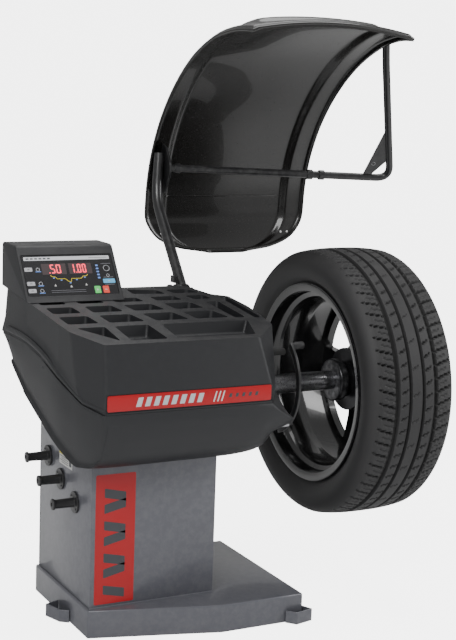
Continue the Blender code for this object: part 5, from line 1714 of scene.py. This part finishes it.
    def _wheel_outline(self) -> None:
        """The drawn section of a rim between the two readings' feet, with its weight places."""
        line = [(0.011, 0.06), (0.015, 0.056), (0.022, 0.056), (0.027, 0.05), (0.047, 0.05), (0.056, 0.042),
                (0.062, 0.042), (0.064, 0.05), (0.09, 0.05), (0.095, 0.056), (0.103, 0.056), (0.108, 0.06)]
        path = rounded([self.at(x, v, self.face + 0.0001) for x, v in line], 0.0014, 3)
        self.shop.piece("rim_drawing", Forge.piped(path, 0.0006, sides=2), "yellow_ink", "stand")
        marks = [self._mark(x - 0.0022, x + 0.0022, v - 0.0014, v + 0.0014, 0.0006)
                 for x, v in ((0.0185, 0.0525), (0.037, 0.0465), (0.059, 0.0385), (0.077, 0.0465),
                              (0.099, 0.0525))]
        self.shop.piece("weight_marks", Forge.merged(marks), "blue_ink", "stand")
        arrows = []
        for x, v in ((0.0185, 0.03), (0.059, 0.026), (0.099, 0.03)):
            outline = ((x - 0.003, v), (x + 0.003, v), (x, v + 0.006))
            arrows.append(self._tile(outline, self.face, self.face + self.ink))
        self.shop.piece("direction_marks", Forge.merged(arrows), "paper", "stand")

    def _icons(self) -> None:
        """Plain signs beside the keys: rings, bars and a column of lamps on the right."""
        rings = []
        for x, v, radius in ((-0.018, 0.077, 0.0044), (-0.018, 0.0385, 0.0044), (-0.018, 0.019, 0.0044),
                             (0.161, 0.076, 0.0078), (0.161, 0.056, 0.0036)):
            path = [self.at(x + radius * math.cos(a), v + radius * math.sin(a), self.face + 0.0001)
                    for a in (math.radians(15 * i) for i in range(24))]
            rings.append(Forge.piped(path, 0.0005, closed=True, sides=2))
        self.shop.piece("icon_rings", Forge.merged(rings), "pale_ink", "stand")
        blue = [self._mark(0.133, 0.1395, 0.048 + 0.0085 * i, 0.052 + 0.0085 * i, 0.0008) for i in range(5)]
        blue += [self._mark(-0.025, -0.011, v, v + 0.0018) for v in (0.0315, 0.012, 0.07)]
        self.shop.piece("icon_bars", Forge.merged(blue), "blue_ink", "stand")
        grey = [self._mark(0.148, 0.174, v, v + 0.0014) for v in (0.088, 0.05, 0.03)]
        grey += [self._mark(0.005, 0.095, v, v + 0.001) for v in (0.018, 0.013)]
        self.shop.piece("icon_lines", Forge.merged(grey), "grey_ink", "stand")

    def _keys(self) -> None:
        """Soft-cornered key caps with a plain sign on each."""
        caps = {
            **{
                name: (-0.0525, -0.0325, v, v + 0.011, Look.SILVER_KEY)
                for name, v in (("key_mode", 0.0715), ("key_unit", 0.033), ("key_width", 0.0135))
            },
            "key_function": (0.145, 0.1765, 0.034, 0.046, Look.BLUE_KEY),
            "key_start": (0.118, 0.134, 0.007, 0.027, Look.GREEN_KEY),
            "key_stop": (0.14, 0.156, 0.007, 0.027, Look.RED_KEY),
        }
        for name, (x0, x1, v0, v1, look) in caps.items():
            top = self.face + 0.0012
            cap = self._box(x0, x1, v0, v1, -0.004, top, 0.0022)
            self.shop.piece(f"{name}_visual", cap, look, name, (name,), 0.0005, 3)
            middle_x, middle_v = (x0 + x1) / 2, (v0 + v1) / 2
            size = 0.003
            if name == "key_start":
                shape = [(middle_x - size, middle_v - size), (middle_x + size, middle_v)]
                shape.append((middle_x - size, middle_v + size))
                sign = self._tile(shape, top - 0.0001, top + 0.00015)
            else:
                across, up = (middle_x - size, middle_x + size), (middle_v - 0.0008, middle_v + 0.0008)
                sign = self._box(*across, *up, top - 0.0001, top + 0.00015)
            ink = "paper" if look in (Look.GREEN_KEY, Look.RED_KEY, Look.BLUE_KEY) else "dark_ink"
            self.shop.piece(f"{name}_sign", sign, ink, name)


# ---------------------------------------------------------------- guard and gauge
@dataclass
class Guard:
    """The swing-over cover: its moulded shell, its arm, its cross tube and its hinge."""

    shop: Workshop
    left: float = 0.438
    right: float = 0.945
    border: float = 0.05
    floor_lift: float = 0.014
    lip_height: float = 0.012
    crown: float = 0.024
    run: float = 0.98
    rearmost: float = 0.7266
    highest: float = 1.4668
    arm_x: float = 0.443
    pivot: tuple[float, float] = (0.455, 0.737)
    sheet: float = 0.0046
    arc: tuple[tuple[float, float, float], ...] = (
        (0.716, 0.806, 0.22), (0.721, 0.822, 0.56), (0.725, 0.85, 0.82), (0.727, 0.89, 0.96),
        (0.727, 0.93, 1.0), (0.717, 1.02, 1.0), (0.688, 1.112, 1.0), (0.633, 1.21, 1.0),
        (0.552, 1.303, 1.0), (0.45, 1.382, 1.0), (0.335, 1.437, 0.99), (0.231, 1.462, 0.96),
        (0.145, 1.467, 0.92),
    )
    tube: tuple[Point, ...] = ((0.475, 0.627, 1.056), (1.1055, 0.486, 1.04), (0.962, 0.322, 1.375),
                               (0.946, 0.3, 1.412))

    def build(self) -> None:
        """Makes every piece of the guard."""
        self._shell()
        self._lip()
        self._panel_relief()
        self._arm()
        self._cross_tube()
        self._hinge()

    def _frame(self, share: float) -> tuple[Vector, Vector, float]:
        """The shell's back at a share of its length.

        Args:
            share: from 0 at the foot to 1 at the top.

        Returns:
            Its middle point, the inward direction and half the width.
        """
        track = Track(self.arc)
        y, z, width = track.at(share)
        before, after = track.at(share - 0.01), track.at(share + 0.01)
        along = Vector((0.0, after[0] - before[0], after[1] - before[1])).normalized()
        half = 0.5 * (self.right - self.left) * min(width, 1.0)
        middle = Vector((0.5 * (self.left + self.right), y, min(z, self.highest)))
        return middle, Vector((0.0, -along.z, along.y)), half

    def _relief(self, u: float, w: float) -> float:
        """The sheet's height over its back: a lip, a flat border and a deeper panel."""
        span = 0.5 * (self.right - self.left)
        gaps = ((1.0 - abs(2.0 * u - 1.0)) * span, w * self.run, (1.0 - w) * self.run)
        edge = sum(max(gap, 0.0) ** -6.0 if gap > 1e-5 else 1e30 for gap in gaps) ** (-1.0 / 6.0)
        lip = max(0.0, 1.0 - edge / 0.01) ** 2
        step = min(max((edge - self.border) / 0.022, 0.0), 1.0)
        return self.floor_lift * (1.0 - step * step * (3.0 - 2.0 * step)) + self.lip_height * lip

    def _place(self, u: float, w: float, lift: float = 0.0) -> Vector:
        """A point of the sheet, u across it from 0 to 1 and w along it from foot to top.

        Args:
            u: share of the width.
            w: share of the length.
            lift: height over the back of the sheet.

        Returns:
            The point, in machine coordinates.
        """
        middle, inward, half = self._frame(w)
        across = 2.0 * u - 1.0
        crown = self.crown * across * across * max(0.0, (w - 0.45) / 0.55) ** 1.5
        height = self._relief(u, w) + crown + lift
        point = middle + inward * height + Vector((across * half, 0.0, 0.0))
        point.y = min(point.y, self.rearmost)
        return point

    def _shell(self) -> None:
        """The moulded sheet: its two sides, joined along the rim."""
        shell = Forge.draped(96, 190, self._place)
        Forge.join(shell, Forge.draped(96, 190, lambda u, w: self._place(u, w, self.sheet)))
        bmesh.ops.bridge_loops(shell, edges=[e for e in shell.edges if e.is_boundary])
        self.shop.piece("guard_shell_visual", shell, Look.GUARD_PLASTIC, "guard", ("guard_shell",),
                        smooth=50)

    def _lip(self) -> None:
        """The rolled edge that runs round the sheet."""
        steps, low, high = 90, 0.003, 0.997
        lift = 0.5 * self.sheet
        path = [self._place(low, low + (high - low) * i / steps, lift) for i in range(steps + 1)]
        path += [self._place(low + (high - low) * i / 40, high, lift) for i in range(1, 40)]
        path += [self._place(high, high - (high - low) * i / steps, lift) for i in range(steps + 1)]
        path += [self._place(high - (high - low) * i / 24, low, lift) for i in range(1, 24)]
        mesh = Forge.piped(path, 0.0048, closed=True, sides=3)
        for vert in mesh.verts:
            vert.co.z = min(vert.co.z, self.highest)
            vert.co.y = min(vert.co.y, self.rearmost + 0.0002)
        self.shop.piece("guard_lip", mesh, Look.GUARD_PLASTIC, "guard")

    def _panel_relief(self) -> None:
        """The crease across the panel and the plugs in the border's lower corners."""
        crease = [self._place(0.13 + 0.0148 * i, 0.375, self.sheet + 0.0002) for i in range(51)]
        self.shop.piece("guard_crease", Forge.piped(crease, 0.0022, sides=2), Look.GUARD_PLASTIC, "guard")
        plugs = []
        for u, w in ((0.055, 0.2), (0.915, 0.2), (0.962, 0.2)):
            seat = self._place(u, w, self.sheet)
            plugs.append(Forge.screw(seat, self._frame(w)[1], 0.0034, 0.0012, 0.3))
        self.shop.piece("guard_plugs", Forge.merged(plugs), "white_plug", "guard")

    def _arm(self) -> None:
        """The hinge arm with its boss and the bolted plate between it, the sheet and the cross tube."""
        y, z = self.pivot
        corners = ((self.arm_x, y + 0.01, z + 0.0125), (self.arm_x, 0.643, 0.968),
                   (self.arm_x + 0.012, 0.658, 1.095))
        arm = Forge.piped(rounded(corners, 0.05, 12), 0.0143, sides=7)
        bore = Forge.turned(((0.4, 0), (0.4, 0.0126), (0.48, 0.0126), (0.48, 0)), y, z, 48, closed=False)
        arm = Forge.carved(arm, [bore])
        self.shop.piece("guard_arm_visual", arm, Look.BLACK_COAT, "guard", ("guard_arm",))
        boss = Forge.turned(
            ((0.43, 0.0124), (0.43, 0.0205), (0.4315, 0.0215), (0.4545, 0.0215), (0.456, 0.0205),
             (0.456, 0.0124)),
            y, z, 64,
        )
        self.shop.piece("guard_boss", boss, Look.BLACK_COAT, "guard")
        outline = ((0.69, 0.985), (0.675, 1.125), (0.64, 1.112), (0.611, 1.068), (0.613, 1.038),
                   (0.645, 0.985))
        path = rounded([(0.4665, y, z) for y, z in (*outline, outline[0])], 0.008, 5)
        plate = Forge.drawn(path[:-1], (0.006, 0, 0))
        self.shop.piece("guard_bracket_plate", plate, Look.BLACK_COAT, "guard", edge=0.0008, segments=2)
        bolts = []
        for y, z in ((0.672, 1.01), (0.664, 1.095), (0.64, 1.04)):
            bolts.append(Forge.screw((0.4725, y, z), (1, 0, 0), 0.006, 0.0036))
        self.shop.piece("guard_arm_bolts", Forge.merged(bolts), Look.DARK_STEEL, "guard")

    def _cross_tube(self) -> None:
        """The bent tube that stiffens the shell, with collars at the walls and the gusset in its bend."""
        path = rounded(self.tube, 0.045, 14)
        self.shop.piece("guard_tube_visual", Forge.piped(path, 0.0104, sides=6), Look.BLACK_COAT, "guard",
                        ("guard_tube",))
        start, corner, end = (Vector(point) for point in self.tube[:3])
        along = (corner - start).normalized()
        collars = []
        for at in (0.012, 0.395, 0.43):
            collars.append(Forge.piped([start + along * at, start + along * (at + 0.016)], 0.014, sides=6))
        self.shop.piece("tube_collars", Forge.merged(collars), Look.BLACK_COAT, "guard", edge=0.0012,
                        segments=3)
        self.shop.refined("gusset_visual", "guard_gusset", Look.BLACK_COAT, "guard", 0.0006, 2)
        ring = []
        rise = (end - corner).normalized()
        centre = corner + (rise - along).normalized() * 0.078
        normal = along.cross(rise).normalized()
        side = normal.orthogonal().normalized()
        other = normal.cross(side)
        for i in range(24):
            a = 2 * math.pi * i / 24
            ring.append(centre + side * 0.0052 * math.cos(a) + other * 0.0052 * math.sin(a))
        self.shop.piece("gusset_eye", Forge.piped(ring, 0.0016, closed=True, sides=2), Look.BRIGHT_STEEL,
                        "guard")

    def _hinge(self) -> None:
        """The hinge shaft, its cam and the fixed bracket with its switch."""
        y, z = self.pivot
        shaft = ((0.378, 0), (0.378, 0.0108), (0.3784, 0.0116), (0.3792, 0.012), (0.4688, 0.012),
                 (0.4696, 0.0116),
                 (0.47, 0.0108), (0.47, 0.004), (0.468, 0.003), (0.468, 0))
        self.shop.piece(
            "guard_shaft_visual", Forge.turned(shaft, y, z, 64), Look.BRIGHT_STEEL, "guard",
            ("guard_shaft",)
        )
        self.shop.refined("guard_cam_visual", "guard_cam", Look.BRIGHT_STEEL, "guard", 0.0005, 2)
        self.shop.refined("guard_bracket_visual", "guard_bracket", Look.BLACK_COAT, "stand", 0.001, 3)
        self.shop.refined("guard_switch_visual", "guard_switch", Look.SMALL_PLASTIC, "stand", 0.001, 3)


@dataclass
class Gauge:
    """The pull-out rim gauge: rod, guide, curved arm and knurled knob."""

    shop: Workshop
    y: float = -0.03
    z: float = 0.482
    centre: tuple[float, float] = (0.057, 0.575)
    radius: float = 0.124
    half: float = 0.008

    def build(self) -> None:
        """Makes every piece of the gauge."""
        rod = [(0.24, 0), (0.24, 0.0062), (0.2408, 0.007)]
        for i in range(24):
            x = 0.3 + 0.008 * i
            rod += [(x, 0.007), (x + 0.0003, 0.0067), (x + 0.0006, 0.007)]
        rod += [(0.499, 0.007), (0.4996, 0.0064), (0.4996, 0)]
        self.shop.piece(
            "gauge_rod_visual", Forge.turned(rod, self.y, self.z, 40), Look.BRIGHT_STEEL, "gauge_carriage",
            ("gauge_rod",)
        )
        self._guide()
        self._arm()
        self._knob()
        self._rest()

    def _guide(self) -> None:
        """The bush that the rod slides in."""
        profile = ((0.33, 0.0076), (0.33, 0.0124), (0.3306, 0.013), (0.3894, 0.013), (0.39, 0.0124),
                   (0.39, 0.0076))
        guide = Forge.turned(profile, self.y, self.z, 40)
        self.shop.piece("gauge_guide_visual", guide, Look.SMALL_PLASTIC, "stand", ("gauge_guide",))

    def _arm(self) -> None:
        """The curved strap from the rod up to the knob."""
        y, z = self.centre
        turns = [math.radians(128 + 125 * i / 60) for i in range(61)]
        outer, inner = (
            [(0.5, y + reach * math.cos(a), z + reach * math.sin(a)) for a in turns]
            for reach in (self.radius + self.half, self.radius - self.half)
        )
        arm = Forge.drawn(outer + inner[::-1], (0.006, 0, 0), 0.0, 0.0011)
        self.shop.piece("gauge_arm_visual", arm, Look.BLACK_COAT, "gauge_swing", ("gauge_arm",))
        bolt = Forge.screw((0.506, self.y, self.z), (1, 0, 0), 0.0066, 0.004)
        self.shop.piece("gauge_arm_bolt", bolt, Look.DARK_STEEL, "gauge_swing")

    def _knob(self) -> None:
        """The knob, turned and then knurled round its grip."""
        a = math.radians(128)
        y = self.centre[0] + self.radius * math.cos(a) + 0.004
        z = self.centre[1] + self.radius * math.sin(a) - 0.002
        x = 0.5063
        profile = ((x, 0), (x, 0.007), (x + 0.0006, 0.0075), (x + 0.0094, 0.0075), (x + 0.0102, 0.0078),
                   (x + 0.0125, 0.0092),
                   (x + 0.0135, 0.0095), (x + 0.023, 0.0095), (x + 0.0315, 0.0095), (x + 0.0325, 0.0092),
                   (x + 0.035, 0.0073), (x + 0.0354, 0.0062), (x + 0.0354, 0))
        knob = Forge.turned(profile, y, z, 72)
        for vert in knob.verts:
            across, along = vert.co.y - y, vert.co.z - z
            reach = math.hypot(across, along)
            if reach > 0.009 and vert.co.x > x + 0.012:
                turn = math.atan2(along, across)
                share = 1.0 - 0.045 * (0.5 + 0.5 * math.cos(24 * turn))
                vert.co.y, vert.co.z = y + across * share, z + along * share
        self.shop.piece("gauge_knob_visual", knob, Look.SMALL_PLASTIC, "gauge_swing", ("gauge_knob",))

    def _rest(self) -> None:
        """The rubber peg on the tray's right side that the arm leans on."""
        profile = ((0.446, 0), (0.446, 0.0085), (0.4955, 0.0085), (0.4972, 0.008), (0.4982, 0.0068),
                   (0.4984, 0.005), (0.4984, 0))
        rest = Forge.turned(profile, 0.0, 0.655, 40)
        self.shop.piece("gauge_rest_visual", rest, Look.RUBBER, "stand", ("gauge_rest",))


# ---------------------------------------------------------------- insides and stage
@dataclass
class Insides:
    """What the column and the head hold, mostly out of sight."""

    shop: Workshop

    def build(self) -> None:
        """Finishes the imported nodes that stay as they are."""
        for node, look in {
            "head_plate": Look.BLACK_COAT, "motor_shelf": Look.BRIGHT_STEEL,
            "spindle_housing": Look.CAST_IRON,
            "bearing_inner": Look.BRIGHT_STEEL, "bearing_outer": Look.BRIGHT_STEEL,
            "spindle_pulley": Look.ALUMINIUM,
            "encoder_disc": Look.BRIGHT_STEEL, "encoder_reader": Look.SMALL_PLASTIC,
            "motor_body": Look.CAST_IRON,
            "motor_pulley": Look.BRIGHT_STEEL, "drive_belt": Look.RUBBER, "sensor_beam": Look.BRIGHT_STEEL,
            "piezo_inner": Look.CERAMIC, "piezo_outer": Look.CERAMIC, "power_board": Look.BOARD,
            "display_board": Look.BOARD,
        }.items():
            self.shop.dress(node, look)


@dataclass
class Stage:
    """The pale floor, the soft lights and the camera."""

    shop: Workshop
    focal: float = 79.71

    def build(self) -> None:
        """Sets the stage."""
        self._floor()
        self._world()
        self._lights()
        self._camera()

    def _floor(self) -> None:
        """A pale sheet that curves up far behind the machine."""
        mesh = bmesh.new()
        profile = [Vector((0, -9.0, -0.0005)), Vector((0, 5.0, -0.0005))]
        for i in range(1, 16):
            a = math.radians(6 * i)
            profile.append(Vector((0, 5.0 + 2.0 * math.sin(a), 2.0 - 2.0 * math.cos(a) - 0.0005)))
        profile.append(Vector((0, 7.0, 9.0)))
        edges = Forge.loop(mesh, profile, closed=False)
        bmesh.ops.translate(mesh, verts=mesh.verts, vec=(-11.0, 0, 0))
        made = bmesh.ops.extrude_edge_only(mesh, edges=edges)["geom"]
        bmesh.ops.translate(mesh, verts=[v for v in made if isinstance(v, bmesh.types.BMVert)],
                            vec=(22.0, 0, 0))
        turn = Matrix.Rotation(math.radians(-27.8), 4, "Z")
        bmesh.ops.transform(mesh, matrix=turn, verts=mesh.verts)
        bmesh.ops.recalc_face_normals(mesh, faces=mesh.faces)
        data = bpy.data.meshes.new("floor")
        mesh.to_mesh(data)
        mesh.free()
        floor = bpy.data.objects.new("floor", data)
        bpy.context.scene.collection.objects.link(floor)
        material = bpy.data.materials.new("floor")
        material.use_nodes = True
        wiring = Wiring(material.node_tree)
        shader = material.node_tree.nodes["Principled BSDF"]
        noise = wiring.add("ShaderNodeTexNoise", Scale=1.5, Detail=3.0)
        wiring.join(wiring.add("ShaderNodeTexCoord").outputs["Object"], noise.inputs["Vector"])
        wiring.join(wiring.mix(noise.outputs[0], (0.83, 0.83, 0.83), (0.86, 0.86, 0.86)),
                    shader.inputs["Base Color"])
        shader.inputs["Roughness"].default_value = 0.55
        shader.inputs["Emission Color"].default_value = (1.0, 1.0, 1.0, 1.0)
        seen = wiring.add("ShaderNodeLightPath").outputs["Is Camera Ray"]
        wiring.join(wiring.calculate("MULTIPLY", seen, 4.5), shader.inputs["Emission Strength"])
        data.materials.append(material)
        data.shade_smooth()

    @staticmethod
    def _world() -> None:
        """Even, slightly grey surroundings."""
        world = bpy.data.worlds.new("studio")
        world.use_nodes = True
        wiring = Wiring(world.node_tree)
        background = world.node_tree.nodes["Background"]
        background.inputs["Color"].default_value = (1.0, 1.0, 1.0, 1.0)
        seen = wiring.add("ShaderNodeLightPath").outputs["Is Camera Ray"]
        wiring.join(wiring.calculate("MULTIPLY_ADD", seen, 9.0, 0.46), background.inputs["Strength"])
        bpy.context.scene.world = world

    @staticmethod
    def _lights() -> None:
        """A large key from the upper left, a strip from the right and one over the top."""
        settings = (
            ("key", (-2.6, -2.6, 3.0), (2.2, 1.6), 110.0),
            ("strip", (2.8, -1.8, 1.8), (0.7, 2.6), 55.0),
            ("top", (0.2, 0.4, 3.6), (2.6, 2.6), 70.0),
        )
        for name, place, size, power in settings:
            light = bpy.data.lights.new(name, "AREA")
            light.shape = "RECTANGLE"
            light.size, light.size_y = size
            light.energy = power
            lamp = bpy.data.objects.new(name, light)
            lamp.location = place
            aim = Vector((0.0, 0.0, 0.7)) - Vector(place)
            lamp.rotation_euler = aim.to_track_quat("-Z", "Y").to_euler()
            bpy.context.scene.collection.objects.link(lamp)

    def _camera(self) -> None:
        """Stands the camera in front and to the left, a little above the machine's middle."""
        data = bpy.data.cameras.new("camera")
        data.lens = self.focal
        data.sensor_width = 36.0
        data.sensor_height = 36.0
        data.sensor_fit = "AUTO"
        data.clip_end = 100.0
        camera = bpy.data.objects.new("camera", data)
        yaw, pitch, roll = math.radians(27.76), math.radians(9.25), math.radians(-2.02)
        ahead = Vector((math.sin(yaw) * math.cos(pitch), math.cos(yaw) * math.cos(pitch), -math.sin(pitch)))
        level = Vector((math.cos(yaw), -math.sin(yaw), 0.0))
        below = ahead.cross(level)
        right = level * math.cos(roll) + below * math.sin(roll)
        down = below * math.cos(roll) - level * math.sin(roll)
        turn = Matrix((right, -down, -ahead)).transposed().to_4x4()
        camera.matrix_world = Matrix.Translation(Vector((-1.195, -2.919, 1.276)) + self.shop.corner) @ turn
        bpy.context.scene.collection.objects.link(camera)
        bpy.context.scene.camera = camera


def main() -> None:
    """Builds the machine piece by piece and sets it on its stage."""
    logging.basicConfig(level=logging.INFO, format="%(name)s: %(message)s")
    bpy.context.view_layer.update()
    shop = Workshop()
    for assembly in (Stand, SpindleLine, Wheel, Head, Console, Guard, Gauge, Insides, Stage):
        LOG.info("building %s", assembly.__name__)
        assembly(shop).build()
    bpy.context.view_layer.update()


if __name__ == "__main__":
    main()
